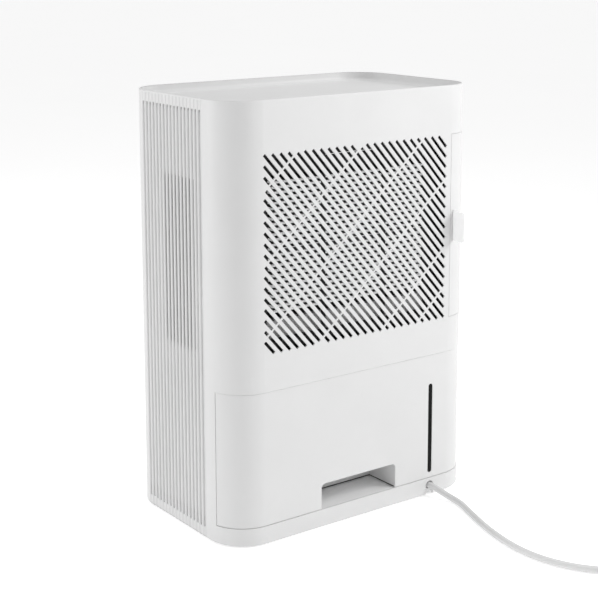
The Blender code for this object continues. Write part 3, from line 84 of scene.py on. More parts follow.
def add_node(tree, kind, settings=(), sockets=()):
    """A node with its settings, and its sockets linked or given a value."""
    made = tree.nodes.new(kind)
    for name, value in dict(settings).items():
        setattr(made, name, value)
    for name, value in dict(sockets).items():
        if isinstance(value, bpy.types.NodeSocket):
            tree.links.new(value, made.inputs[name])
        else:
            made.inputs[name].default_value = value
    return made


def new_material(name, base, **values):
    """A Principled material: its tree, its shader and its object coordinates."""
    made = bpy.data.materials.new(name)
    made.use_nodes = True
    shader = made.node_tree.nodes["Principled BSDF"]
    shader.inputs["Base Color"].default_value = srgb(base)
    for socket, value in values.items():
        shader.inputs[socket.replace("_", " ")].default_value = value
    coords = add_node(made.node_tree, "ShaderNodeTexCoord")
    return made, made.node_tree, shader, coords.outputs["Object"]


def link_object(name, data):
    made = bpy.data.objects.new(name, data)
    SCENE.collection.objects.link(made)
    return made


def box_of(low, high):
    low, high = Vector(low), Vector(high)
    bm = bmesh.new()
    bmesh.ops.create_cube(bm, size=1.0)
    bmesh.ops.scale(bm, vec=high - low, verts=bm.verts)
    bmesh.ops.translate(bm, vec=(low + high) / 2, verts=bm.verts)
    return bm


def mesh_from(bm, name):
    data = bpy.data.meshes.new(name)
    bm.to_mesh(data)
    bm.free()
    return data


FLOOR_COLOUR = "#F6F6F6"
FLOOR_SIZE = 60.0
FLOOR_GLOW = 0.38
paint, tree, shader, place = new_material("painted_studio_floor", FLOOR_COLOUR, Roughness=0.85)
cloud = add_node(tree, "ShaderNodeTexNoise", {}, {"Vector": place, "Scale": 1.5, "Detail": 3.0})
ramp = add_node(tree, "ShaderNodeValToRGB", {}, {"Fac": cloud.outputs["Fac"]})
ramp.color_ramp.elements[0].color = srgb("#F4F4F4")
ramp.color_ramp.elements[1].color = srgb("#F8F8F8")
tree.links.new(ramp.outputs["Color"], shader.inputs["Base Color"])
shader.inputs["Emission Color"].default_value = srgb("#FFFFFF")
shader.inputs["Emission Strength"].default_value = FLOOR_GLOW
bm = bmesh.new()
bmesh.ops.create_grid(bm, x_segments=1, y_segments=1, size=FLOOR_SIZE / 2)
floor = link_object("studio_floor", mesh_from(bm, "studio_floor"))
floor.data.materials.append(paint)

WORLD_STRENGTH = 0.60
world = bpy.data.worlds.new("studio")
world.use_nodes = True
world.node_tree.nodes["Background"].inputs["Color"].default_value = srgb("#FFFFFF")
world.node_tree.nodes["Background"].inputs["Strength"].default_value = WORLD_STRENGTH
SCENE.world = world
SCENE.view_settings.view_transform = "Standard"

AIM = Vector((0.0, 0.0, 0.27))
LAMPS = (
    ("lamp_rear_right", (-0.75, 0.75, 0.85), 0.5, 6.0),
    ("lamp_front_left", (2.10, -1.30, 0.75), 1.0, 14.5),
    ("lamp_overhead", (0.00, -0.10, 2.20), 1.0, 9.0),
)
for name, spot, size, power in LAMPS:
    lamp = bpy.data.lights.new(name, "AREA")
    lamp.shape = "SQUARE"
    lamp.size = size
    lamp.energy = power
    lamp_object = link_object(name, lamp)
    lamp_object.location = spot
    lamp_object.rotation_euler = (AIM - Vector(spot)).to_track_quat("-Z", "Y").to_euler()

CAMERA_SPOT = Vector((0.96825, 1.29239, 0.65439))
CAMERA_YAW, CAMERA_PITCH, CAMERA_ROLL = (math.radians(a) for a in (216.24, -9.36, -0.15))
CAMERA_LENS = 83.02
CAMERA_SHIFT = (0.0078, -0.20)
ahead = Vector(
    (
        math.cos(CAMERA_PITCH) * math.sin(CAMERA_YAW),
        math.cos(CAMERA_PITCH) * math.cos(CAMERA_YAW),
        math.sin(CAMERA_PITCH),
    )
)
level = ahead.cross(Vector((0, 0, 1))).normalized()
turn = Matrix.Rotation(-CAMERA_ROLL, 3, ahead)
right, up = turn @ level, turn @ level.cross(ahead)
camera_data = bpy.data.cameras.new("camera")
camera_data.lens = CAMERA_LENS
camera_data.sensor_width = 36.0
camera_data.shift_x, camera_data.shift_y = CAMERA_SHIFT
camera_data.clip_end = 50.0
camera = link_object("camera", camera_data)
camera.matrix_world = Matrix.Translation(CAMERA_SPOT) @ Matrix((right, up, -ahead)).transposed().to_4x4()
SCENE.camera = camera


# Supply lead: a round three-core mains lead in soft grey-white PVC, drawn over its cores, with a
# faint long waviness from the extruder.  It comes out through the gland low in the rear, lies on the
# floor in one loose curve, and the rest of it is wound in a tied coil with its moulded plug beside it.
LEAD_RADIUS = 3.85 * MM
OUTLET = Vector((-0.10925, 0.0995, 0.0))
LEAD_ROUTE = (
    (0.0000, -0.0245, 0.0130),
    (0.0000, -0.0115, 0.0130),
    (-0.0001, -0.0005, 0.0129),
    (-0.0013, 0.0090, 0.0115),
    (-0.0039, 0.0190, 0.0084),
    (-0.0063, 0.0295, 0.0054),
    (-0.0067, 0.0405, 0.0042),
    (-0.0043, 0.0525, 0.0041),
    (0.0011, 0.0675, 0.0041),
    (0.0081, 0.0865, 0.0041),
    (0.0161, 0.1095, 0.0041),
    (0.0235, 0.1355, 0.0041),
    (0.0288, 0.1625, 0.0041),
    (0.0307, 0.1895, 0.0041),
    (0.0273, 0.2175, 0.0041),
    (0.0178, 0.2435, 0.0041),
    (0.0023, 0.2665, 0.0041),
    (-0.0270, 0.2950, 0.0041),
    (-0.0600, 0.3135, 0.0041),
)
COIL_CENTRE = OUTLET + Vector((-0.1067, 0.2875, 0.0))
COIL_OUTER, COIL_INNER = 45.85 * MM, 38.15 * MM
COIL_FLOOR, COIL_LAYER = 4.1 * MM, 7.7 * MM
# where the winding moves to its next place, in degrees turned: start, end, change of radius, of height
COIL_MOVES = (
    (345, 393, COIL_INNER - COIL_OUTER, 0.0),
    (650, 700, 0.0, COIL_LAYER),
    (1010, 1060, 0.0, COIL_LAYER),
    (1315, 1365, COIL_OUTER - COIL_INNER, 0.0),
    (1635, 1672, 0.0, -COIL_LAYER),
)
COIL_START, COIL_END, COIL_STEP = 60, 1980, 10
PLUG_TAIL = 42.0 * MM


def eased(value, start, end):
    share = min(max((value - start) / (end - start), 0.0), 1.0)
    return share * share * (3 - 2 * share)


def smooth_path(route, spacing):
    """Points about spacing apart on a smooth curve through the route's points."""
    ends = [route[0] * 2 - route[1], *route, route[-1] * 2 - route[-2]]
    fine = []
    for a, b, c, d in zip(ends, ends[1:], ends[2:], ends[3:]):
        steps = max(2, round((c - b).length / spacing))
        for step in range(steps):
            t = step / steps
            fine.append(
                (
                    b * 2
                    + (c - a) * t
                    + (a * 2 - b * 5 + c * 4 - d) * t**2
                    + (b * 3 - a - c * 3 + d) * t**3
                )
                / 2
            )
    return [*fine, route[-1]]


def tube(name, points, radius, material, ring=5):
    curve = bpy.data.curves.new(name, "CURVE")
    curve.dimensions = "3D"
    curve.bevel_depth = radius
    curve.bevel_resolution = ring
    curve.use_fill_caps = True
    spline = curve.splines.new("POLY")
    spline.points.add(len(points) - 1)
    for point, spot in zip(spline.points, points):
        point.co = (*spot, 1.0)
    spline.use_smooth = True
    curve.materials.append(material)
    return link_object(name, curve)


def in_body(made, body, slot, *replaced):
    """The piece rides on a body and stands for its CAD nodes; its slot is not used."""
    if replaced:
        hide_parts(*replaced)
    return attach(made, body)


# PVC: soft, slightly waxy, with low broad highlights and a fine drag mark from the die
lead_pvc, tree, shader, place = new_material("lead_pvc", "#D4D4D4", Roughness=0.42, IOR=1.53)
wave = add_node(tree, "ShaderNodeTexNoise", {}, {"Vector": place, "Scale": 60.0, "Detail": 2.0})
ramp = add_node(tree, "ShaderNodeValToRGB", {}, {"Fac": wave.outputs["Fac"]})
ramp.color_ramp.elements[0].color = srgb("#CFCFCF")
ramp.color_ramp.elements[1].color = srgb("#DADADA")
tree.links.new(ramp.outputs["Color"], shader.inputs["Base Color"])
drag = add_node(tree, "ShaderNodeTexNoise", {}, {"Vector": place, "Scale": 700.0, "Detail": 3.0})
bump = add_node(
    tree,
    "ShaderNodeBump",
    {},
    {"Height": drag.outputs["Fac"], "Strength": 0.25, "Distance": 0.1 * MM},
)
tree.links.new(bump.outputs["Normal"], shader.inputs["Normal"])

route = [OUTLET + Vector(point) for point in LEAD_ROUTE]
for angle in range(COIL_START, COIL_END + 1, COIL_STEP):
    radius = COIL_OUTER + sum(m[2] * eased(angle, m[0], m[1]) for m in COIL_MOVES)
    height = COIL_FLOOR + sum(m[3] * eased(angle, m[0], m[1]) for m in COIL_MOVES)
    around = math.radians(angle)
    route.append(COIL_CENTRE + Vector((radius * math.cos(around), radius * math.sin(around), height)))
leaving = route[-1]
for share in (0.25, 0.5, 0.75, 1.0):
    route.append(leaving - Vector((0, share * (PLUG_TAIL + 27.0 * MM), 0)))
lead_path = smooth_path(route, 4.5 * MM)
lead = tube("mains_lead", lead_path, LEAD_RADIUS, lead_pvc)
in_body(lead, "cabinet", "lead_pvc", "supply_lead", "lead_coil", "plug_lead")


def rounded(bm, chosen, radius, segments):
    edges = [edge for edge in bm.edges if chosen(edge)]
    bmesh.ops.bevel(
        bm,
        geom=edges,
        offset=radius,
        segments=segments,
        profile=0.5,
        affect="EDGES",
        material=-1,
        clamp_overlap=True,
    )
    return bm


def along(edge, axis):
    a, b = (vert.co for vert in edge.verts)
    return abs((b - a).normalized()[axis]) > 0.999


def centre_of(edge):
    return (edge.verts[0].co + edge.verts[1].co) / 2


def turned(points, centre, axis, steps):
    """A solid of revolution: points are (radius, place along the axis)."""
    axis = Vector(axis).normalized()
    across = axis.orthogonal().normalized()
    bm = bmesh.new()
    verts = [bm.verts.new(Vector(centre) + across * r + axis * h) for r, h in points]
    edges = [bm.edges.new(pair) for pair in zip(verts, verts[1:])]
    bmesh.ops.spin(
        bm,
        geom=verts + edges,
        cent=centre,
        axis=axis,
        angle=2 * math.pi,
        steps=steps,
        use_merge=True,
    )
    bmesh.ops.remove_doubles(bm, verts=bm.verts, dist=1e-6)
    bmesh.ops.recalc_face_normals(bm, faces=bm.faces)
    return bm


def gathered(shapes):
    """Several separate shapes in one bmesh."""
    whole = bmesh.new()
    for bm in shapes:
        data = mesh_from(bm, "shape")
        whole.from_mesh(data)
        bpy.data.meshes.remove(data)
    return whole


def carved(bm, *steps):
    """The shape after Boolean steps, each an operation and its other shape."""
    held = []
    for shape in (bm, *(other for _, other in steps)):
        bmesh.ops.recalc_face_normals(shape, faces=shape.faces)
        held.append(link_object("shape", mesh_from(shape, "shape")))
    for (operation, _), other in zip(steps, held[1:]):
        change = held[0].modifiers.new("step", "BOOLEAN")
        change.operation = operation
        change.solver = "EXACT"
        change.object = other
    bpy.context.view_layer.update()
    done = bmesh.new()
    done.from_object(held[0], bpy.context.evaluated_depsgraph_get())
    for made in held:
        data = made.data
        bpy.data.objects.remove(made)
        bpy.data.meshes.remove(data)
    bmesh.ops.remove_doubles(done, verts=done.verts, dist=2e-6)
    bmesh.ops.dissolve_degenerate(done, edges=done.edges, dist=2e-6)
    return done


def piece(name, bm, material, body, slot, *replaced, angle=32):
    """A finished piece, smooth but for edges sharper than angle."""
    made = link_object(name, mesh_from(bm, name))
    made.data.materials.append(material)
    made.data.shade_smooth()
    made.data.set_sharp_from_angle(angle=math.radians(angle))
    even = made.modifiers.new("even_normals", "WEIGHTED_NORMAL")
    even.keep_sharp = True
    even.weight = 100
    return in_body(made, body, slot, *replaced)


PLUG_LOW, PLUG_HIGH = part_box("lead_plug")
PLUG_BODY = 44.0 * MM
plug_x = (PLUG_LOW.x + PLUG_HIGH.x) / 2
plug_z = (PLUG_LOW.z + PLUG_HIGH.z) / 2
body_block = box_of(PLUG_LOW, (PLUG_HIGH.x, PLUG_LOW.y + PLUG_BODY, PLUG_HIGH.z))
rounded(body_block, lambda e: along(e, 1), 8.5 * MM, 6)
rounded(body_block, lambda e: abs(centre_of(e).y - PLUG_LOW.y) < 1e-5, 1.2 * MM, 3)
rounded(body_block, lambda e: abs(centre_of(e).y - PLUG_LOW.y - PLUG_BODY) < 1e-5, 4.0 * MM, 5)
grips = []
for k in range(5):
    for side in (-1, 1):
        y = PLUG_LOW.y + 16 * MM + k * 4.5 * MM
        x = plug_x + side * (PLUG_HIGH.x - plug_x + 1.3 * MM)
        grips.append(
            box_of((x - 2.2 * MM, y, PLUG_LOW.z - MM), (x + 2.2 * MM, y + 2.2 * MM, PLUG_HIGH.z + MM))
        )
boot_start = PLUG_LOW.y + PLUG_BODY - 4 * MM
boot_end = PLUG_HIGH.y
boot = [(0.0, boot_start)]
rings = 5
pitch = (boot_end - boot_start - 5 * MM) / rings
for k in range(rings):
    radius = (8.6 - 0.72 * k) * MM
    start = boot_start + 5 * MM + k * pitch
    neck = radius - 1.9 * MM
    boot += [(radius, start - 0.1 * MM), (radius, start + pitch * 0.55)]
    boot += [(neck, start + pitch * 0.62), (neck, start + pitch * 0.93)]
boot += [(4.6 * MM, boot_end), (0.0, boot_end)]
plug_boot = turned(boot, (plug_x, 0, plug_z), (0, 1, 0), 32)
plug_bm = carved(body_block, ("DIFFERENCE", gathered(grips)), ("UNION", plug_boot))
plug = piece("moulded_plug", plug_bm, lead_pvc, "cabinet", "lead_pvc", "lead_plug", angle=40)

# Coil tie: a narrow band of black hook-and-loop fabric round all the turns of the coil.
TIE_WIDTH, TIE_ANGLE = 11.0 * MM, math.radians(128)
TIE_LOW, TIE_HIGH, TIE_IN, TIE_OUT = 0.24 * MM, 23.5 * MM, 34.2 * MM, 49.8 * MM
TIE_SKIN = 0.8 * MM
outer_band = box_of(
    (TIE_IN - TIE_SKIN, -TIE_WIDTH / 2, 0.02 * MM), (TIE_OUT + TIE_SKIN, TIE_WIDTH / 2, TIE_HIGH + TIE_SKIN)
)
rounded(outer_band, lambda e: along(e, 1), 4.2 * MM, 6)
inner_band = box_of((TIE_IN, -TIE_WIDTH, TIE_LOW), (TIE_OUT, TIE_WIDTH, TIE_HIGH))
rounded(inner_band, lambda e: along(e, 1), 3.6 * MM, 6)
band = carved(outer_band, ("DIFFERENCE", inner_band))
bmesh.ops.transform(
    band,
    matrix=Matrix.Translation(COIL_CENTRE) @ Matrix.Rotation(TIE_ANGLE, 4, "Z"),
    verts=band.verts,
)
tie_fabric, tree, shader, place = new_material("tie_fabric", "#26272A", Roughness=0.9, Sheen_Weight=0.4)
loops = add_node(tree, "ShaderNodeTexVoronoi", {}, {"Vector": place, "Scale": 1400.0})
bump = add_node(
    tree,
    "ShaderNodeBump",
    {},
    {"Height": loops.outputs["Distance"], "Strength": 0.8, "Distance": 0.2 * MM},
)
tree.links.new(bump.outputs["Normal"], shader.inputs["Normal"])
coil_tie = piece("coil_tie", band, tie_fabric, "cabinet", "filter_net")

# Plug pins: two flat blades and a round earth pin, stamped and turned in brass and nickel plated.
# The plating is bright, with fine marks along the pins from being pushed in and out.
pin_metal, tree, shader, place = new_material("nickel_plated_brass", "#C9C3B2", Metallic=1.0, Roughness=0.25)
stretched = add_node(tree, "ShaderNodeMapping", {}, {"Vector": place, "Scale": (4000.0, 120.0, 4000.0)})
marks = add_node(tree, "ShaderNodeTexNoise", {}, {"Vector": stretched.outputs["Vector"], "Scale": 1.0})
rub = add_node(
    tree,
    "ShaderNodeMapRange",
    {},
    {"Value": marks.outputs["Fac"], "To Min": 0.18, "To Max": 0.42},
)
tree.links.new(rub.outputs["Result"], shader.inputs["Roughness"])
for number in (1, 2):
    low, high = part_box(f"plug_blade_{number}")
    blade = box_of(low, high)
    rounded(blade, lambda e: along(e, 0) and centre_of(e).y < low.y + MM, 1.6 * MM, 4)
    hole_y, hole_z = low.y + 4.5 * MM, (low.z + high.z) / 2
    middle_x = (low.x + high.x) / 2
    hole = turned(
        [(0, -2 * MM), (1.4 * MM, -2 * MM), (1.4 * MM, 2 * MM), (0, 2 * MM)],
        (middle_x, hole_y, hole_z),
        (1, 0, 0),
        20,
    )
    blade = carved(blade, ("DIFFERENCE", hole))
    piece(f"pin_blade_{number}", blade, pin_metal, "cabinet", "plug_brass", f"plug_blade_{number}")
low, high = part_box("plug_earth_pin")
pin_r = (high.x - low.x) / 2
earth = turned(
    [
        (0, low.y),
        (pin_r * 0.55, low.y),
        (pin_r * 0.9, low.y + 0.8 * MM),
        (pin_r, low.y + 2 * MM),
        (pin_r, high.y),
        (0, high.y),
    ],
    ((low.x + high.x) / 2, 0, (low.z + high.z) / 2),
    (0, 1, 0),
    24,
)
piece("pin_earth", earth, pin_metal, "cabinet", "plug_brass", "plug_earth_pin")


# Casing: front and rear covers injection moulded in satin white ABS, 2.5 mm thick, and clipped
# together down both sides.  The sides have long ventilation slots, each in a shallow flute, and the
# rear has the air intake: diagonal slots broken by narrow cross ribs, with softened edges.
HALF_X, HALF_Y, CENTRE_Y = 179.0 * MM, 109.5 * MM, -10.0 * MM
REAR_Y, FRONT_Y = CENTRE_Y + HALF_Y, CENTRE_Y - HALF_Y
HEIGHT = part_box("rear_cover")[1].z
CASING_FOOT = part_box("rear_cover")[0].z
CORNER, CORNER_STEPS = 45.6 * MM, 22
WALL = 2.5 * MM
COVER_SEAM = (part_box("front_cover")[1].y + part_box("rear_cover")[0].y) / 2
SEAM_GAP = 0.35 * MM
RIM_ROUND = 1.1 * MM
SOFT = 0.35 * MM
FAR = 1.0

SLOTS, SLOT_PITCH, SLOT_WIDTH, SLOT_END = 17, 7.37 * MM, 3.2 * MM, 12.6 * MM
LAST_SLOT_TO_SEAM = 4.2 * MM
FLUTE_DEPTH, FLUTE_WIDTH, FLUTE_END = 1.1 * MM, 5.8 * MM, 2.0 * MM

GRILLE_LEFT, GRILLE_RIGHT = 134.5 * MM, -128.9 * MM
GRILLE_TOP, GRILLE_BOTTOM = 441.3 * MM, 219.6 * MM
GRILLE_SLOT, GRILLE_PITCH, GRILLE_ANGLE = 3.7 * MM, 8.11 * MM, math.radians(48.2)
RIB_WIDTH, RIB_PLACES = 2.2 * MM, [v * MM for v in (28.0, 89.2, 150.4, 211.6, 272.8, 309.3)]
SHORTEST_SLOT, GRILLE_WALL, GRILLE_CORNER = 5.0 * MM, 1.4 * MM, 0.8 * MM

TANK_TOP, TANK_FOOT, TANK_EDGE = 177.2 * MM, 22.0 * MM, CENTRE_Y + 74.6 * MM
FILTER_SEAM, FILTER_EDGE = -136.5 * MM, CENTRE_Y + 66.0 * MM
FILTER_FOOT, FILTER_HEAD = 219.6 * MM, 442.2 * MM
NOTCH_WIDTH, NOTCH_TOP = 11.5 * MM, 18.2 * MM


def moulded(name, dark, light, roughness, grain, depth, ior=1.5, **values):
    """An injection-moulded plastic: a faint drift of colour and gloss, and a fine spark-eroded grain."""
    made, tree, shader, place = new_material(name, light, IOR=ior, **values)
    drift = add_node(
        tree, "ShaderNodeTexNoise", {}, {"Vector": place, "Scale": 9.0, "Detail": 5.0, "Roughness": 0.6}
    )
    tint = add_node(tree, "ShaderNodeValToRGB", {}, {"Fac": drift.outputs["Fac"]})
    tint.color_ramp.elements[0].position, tint.color_ramp.elements[1].position = 0.3, 0.7
    tint.color_ramp.elements[0].color, tint.color_ramp.elements[1].color = srgb(dark), srgb(light)
    tree.links.new(tint.outputs["Color"], shader.inputs["Base Color"])
    fine = add_node(
        tree, "ShaderNodeTexNoise", {}, {"Vector": place, "Scale": 1 / grain, "Detail": 2.0}
    )
    blurred = add_node(
        tree, "ShaderNodeMath", {"operation": "MULTIPLY_ADD"}, {0: fine.outputs["Fac"], 1: 0.5, 2: -0.25}
    )
    worn = add_node(
        tree, "ShaderNodeMath", {"operation": "ADD"}, {0: blurred.outputs[0], 1: drift.outputs["Fac"]}
    )
    gloss = add_node(
        tree,
        "ShaderNodeMapRange",
        {},
        {
            "Value": worn.outputs[0],
            "From Min": 0.2,
            "From Max": 0.8,
            "To Min": roughness - 0.07,
            "To Max": roughness + 0.07,
        },
    )
    tree.links.new(gloss.outputs["Result"], shader.inputs["Roughness"])
    bump = add_node(
        tree, "ShaderNodeBump", {}, {"Height": fine.outputs["Fac"], "Strength": 0.5, "Distance": depth}
    )
    tree.links.new(bump.outputs["Normal"], shader.inputs["Normal"])
    return made


# ABS: a cool white, satin from a spark-eroded mould, its grain of 0.3 mm drawn at 0.9 mm to show
white_abs = moulded("white_abs", "#D5D5D5", "#D9D9D9", 0.46, 0.9 * MM, 0.05 * MM, ior=1.54)


def casing_block(inset, low, high, rim=0.0, foot=0.0, plan=CORNER):
    """A block with the casing's rounded plan, drawn in by inset, its top and bottom edges rounded."""
    bm = box_of(
        (inset - HALF_X, CENTRE_Y + inset - HALF_Y, low), (HALF_X - inset, CENTRE_Y + HALF_Y - inset, high)
    )
    rounded(bm, lambda e: along(e, 2), plan - inset, CORNER_STEPS)
    if rim:
        rounded(bm, lambda e: min(v.co.z for v in e.verts) > high - 1e-6, rim, 4)
    if foot:
        rounded(bm, lambda e: max(v.co.z for v in e.verts) < low + 1e-6, foot, 4)
    return bm


def kept_beyond(bm, place, outward):
    """The part of a closed shape on the inner side of a plane, closed again."""
    done = bmesh.ops.bisect_plane(
        bm,
        geom=bm.verts[:] + bm.edges[:] + bm.faces[:],
        plane_co=place,
        plane_no=outward,
        clear_outer=True,
    )
    rim = [item for item in done["geom_cut"] if isinstance(item, bmesh.types.BMEdge)]
    bmesh.ops.contextual_create(bm, geom=rim)
    return bm


def rear_of(bm, y):
    return kept_beyond(bm, (0, y, 0), (0, -1, 0))


def front_of(bm, y):
    return kept_beyond(bm, (0, y, 0), (0, 1, 0))


def slot_cutter(length, width, depth, lip, corner):
    """A slot along X with rounded corners, cut towards -Y from the surface at y = 0, with a flared lip."""
    bm = bmesh.new()
    bmesh.ops.create_cone(bm, cap_ends=True, segments=12, radius1=corner, radius2=corner, depth=depth - lip)
    sideways = Matrix.Rotation(math.pi / 2, 3, "X") @ Matrix.Rotation(math.pi / 12, 3, "Z")
    bmesh.ops.rotate(bm, cent=(0, 0, 0), matrix=sideways, verts=bm.verts)
    for vert in bm.verts:
        vert.co.x += math.copysign(length / 2 - corner, vert.co.x)
        vert.co.z += math.copysign(width / 2 - corner, vert.co.z)
        vert.co.y -= (depth + lip) / 2
    mouth = max(bm.faces, key=lambda f: f.calc_center_median().y)
    for out, spread in ((lip, lip), (MM, 0.0)):
        mouth = bmesh.ops.extrude_discrete_faces(bm, faces=[mouth])["faces"][0]
        bmesh.ops.translate(bm, vec=(0, out, 0), verts=mouth.verts)
        wider = (1 + 2 * spread / length, 1, 1 + 2 * spread / width)
        bmesh.ops.scale(bm, vec=wider, verts=mouth.verts)
    return bm


def placed(bm, matrix):
    bmesh.ops.transform(bm, matrix=matrix, verts=bm.verts)
    return bm


def side_cutters(side):
    """The slots and the flutes of one side."""
    slots, flutes = [], []
    flute_radius = (FLUTE_WIDTH**2 / 4 + FLUTE_DEPTH**2) / (2 * FLUTE_DEPTH)
    first = COVER_SEAM - LAST_SLOT_TO_SEAM - (SLOTS - 1) * SLOT_PITCH
    upright = Matrix.Rotation(-side * math.pi / 2, 4, "Z") @ Matrix.Rotation(math.pi / 2, 4, "Y")
    for k in range(SLOTS):
        y = first + k * SLOT_PITCH
        slot = slot_cutter(HEIGHT - 2 * SLOT_END, SLOT_WIDTH, 4 * WALL, SOFT, SLOT_WIDTH / 2)
        surface = side * (HALF_X - FLUTE_DEPTH + 0.15 * MM)
        slots.append(placed(slot, Matrix.Translation((surface, y, HEIGHT / 2)) @ upright))
        flute = bmesh.new()
        bmesh.ops.create_cone(
            flute,
            cap_ends=True,
            segments=56,
            radius1=flute_radius,
            radius2=flute_radius,
            depth=HEIGHT - 2 * FLUTE_END,
        )
        outside = side * (HALF_X + flute_radius - FLUTE_DEPTH)
        flutes.append(placed(flute, Matrix.Translation((outside, y, HEIGHT / 2))))
    return ("DIFFERENCE", gathered(flutes)), ("DIFFERENCE", gathered(slots))


PANEL_WIDTH, PANEL_HEIGHT, PANEL_Z = 150.0 * MM, 34.0 * MM, 452.0 * MM
cover_seams = [COVER_SEAM - SEAM_GAP / 2, COVER_SEAM + SEAM_GAP / 2]
front_block = front_of(casing_block(0, CASING_FOOT, HEIGHT, RIM_ROUND, RIM_ROUND), cover_seams[0])
panel_hole = box_of(
    (-PANEL_WIDTH / 2 - 0.4 * MM, FRONT_Y - WALL, PANEL_Z - PANEL_HEIGHT / 2 - 0.4 * MM),
    (PANEL_WIDTH / 2 + 0.4 * MM, FRONT_Y + 3 * WALL, PANEL_Z + PANEL_HEIGHT / 2 + 0.4 * MM),
)
rounded(panel_hole, lambda e: along(e, 1), 1.0 * MM, 4)
front_shell = carved(
    front_block,
    *side_cutters(1),
    *side_cutters(-1),
    ("DIFFERENCE", casing_block(WALL, -FAR, FAR)),
    ("DIFFERENCE", panel_hole),
)
for z in (SLOT_END + SLOT_WIDTH, HEIGHT - SLOT_END - SLOT_WIDTH):
    bmesh.ops.bisect_plane(
        front_shell,
        geom=[*front_shell.verts, *front_shell.edges, *front_shell.faces],
        plane_co=(0, 0, z),
        plane_no=(0, 0, 1),
    )
piece("front_shell", front_shell, white_abs, "cabinet", "white_abs", "front_cover")

grille_along = Vector((-math.cos(GRILLE_ANGLE), 0, -math.sin(GRILLE_ANGLE)))
half_slot = GRILLE_SLOT / 2
start_x, end_x = GRILLE_LEFT - half_slot, GRILLE_RIGHT + half_slot
start_z, end_z = GRILLE_TOP - half_slot, GRILLE_BOTTOM + half_slot
grille_corner = Vector((start_x, 0, start_z))
grille = []
for k in range(
    -math.floor((start_z - end_z) * math.cos(GRILLE_ANGLE) / GRILLE_PITCH),
    math.floor((start_x - end_x) * math.sin(GRILLE_ANGLE) / GRILLE_PITCH) + 1,
):
    shift = k * GRILLE_PITCH
    if k >= 0:
        start = grille_corner + Vector((-shift / math.sin(GRILLE_ANGLE), 0, 0))
    else:
        start = grille_corner + Vector((0, 0, shift / math.cos(GRILLE_ANGLE)))
    length = min((end_x - start.x) / grille_along.x, (end_z - start.z) / grille_along.z)
    passed = (start - grille_corner).dot(grille_along)
    edges = [0.0]
    for rib in RIB_PLACES:
        if -half_slot < rib - passed < length + half_slot:
            edges += [rib - passed - RIB_WIDTH / 2 - half_slot, rib - passed + RIB_WIDTH / 2 + half_slot]
    edges.append(length)
    for a, b in zip(edges[::2], edges[1::2]):
        if b - a + GRILLE_SLOT >= SHORTEST_SLOT:
            spot = start + grille_along * ((a + b) / 2)
            spot.y = REAR_Y + 0.02 * MM
            tilt = Matrix.Rotation(-GRILLE_ANGLE, 4, "Y")
            slot = slot_cutter(b - a + GRILLE_SLOT, GRILLE_SLOT, 3 * WALL, SOFT, GRILLE_CORNER)
            grille.append(placed(slot, Matrix.Translation(spot) @ tilt))
rear_block = rear_of(casing_block(0, CASING_FOOT, HEIGHT, RIM_ROUND, RIM_ROUND), cover_seams[1])
notch = box_of(
    (OUTLET.x - NOTCH_WIDTH / 2, REAR_Y - 2 * WALL, -WALL), (OUTLET.x + NOTCH_WIDTH / 2, FAR, NOTCH_TOP)
)
rounded(notch, lambda e: along(e, 1) and centre_of(e).z > 0, NOTCH_WIDTH * 0.499, 10)
thinned = box_of(
    (GRILLE_RIGHT - MM, REAR_Y - 2 * WALL, GRILLE_BOTTOM - MM),
    (GRILLE_LEFT + MM, REAR_Y - GRILLE_WALL, GRILLE_TOP + MM),
)
rear_shell = carved(
    rear_block,
    ("DIFFERENCE", casing_block(WALL, -FAR, FAR)),
    ("DIFFERENCE", box_of((-FAR, TANK_EDGE, TANK_FOOT + 0.15 * MM), (FAR, FAR, TANK_TOP - 0.15 * MM))),
    ("DIFFERENCE", box_of((-FAR, FILTER_EDGE, FILTER_FOOT), (FILTER_SEAM, FAR, FILTER_HEAD))),
    ("DIFFERENCE", notch),
    ("DIFFERENCE", thinned),
)
# the intake's wall is drawn as strips between the slots, so that each face holds few of them
for k in range(-24, 25):
    across = Vector((-math.sin(GRILLE_ANGLE), 0, math.cos(GRILLE_ANGLE)))
    flat = [
        face
        for face in rear_shell.faces
        if abs(face.normal.y) > 0.999 and face.calc_center_median().y > REAR_Y - 2 * WALL
    ]
    edges = {edge for face in flat for edge in face.edges}
    verts = {vert for face in flat for vert in face.verts}
    bmesh.ops.bisect_plane(
        rear_shell,
        geom=[*verts, *edges, *flat],
        plane_co=grille_corner + across * (k + 0.5) * GRILLE_PITCH,
        plane_no=across,
    )
rear_shell = carved(rear_shell, ("DIFFERENCE", gathered(grille)))
piece("rear_shell", rear_shell, white_abs, "cabinet", "white_abs", "rear_cover")

# Top: a shallow dish moulded in the same ABS and set inside the casing's rim, with a filleted edge all
# round, so that small things stay on top.
DISH_DEPTH, DISH_GAP, DISH_LIP = 11.0 * MM, 0.3 * MM, 0.9 * MM
DISH_FILLET, DISH_FLOOR = 5.0 * MM, 2.5 * MM
dish_floor = HEIGHT - DISH_DEPTH
dish_block = casing_block(WALL + DISH_GAP, dish_floor - DISH_FLOOR, HEIGHT - 0.35 * MM, 0.25 * MM)
bowl = casing_block(WALL + DISH_LIP, dish_floor, HEIGHT + DISH_DEPTH, 0.0, DISH_FILLET)
dish = carved(dish_block, ("DIFFERENCE", bowl))
piece("top_dish", dish, white_abs, "cabinet", "white_abs", "top_cover")
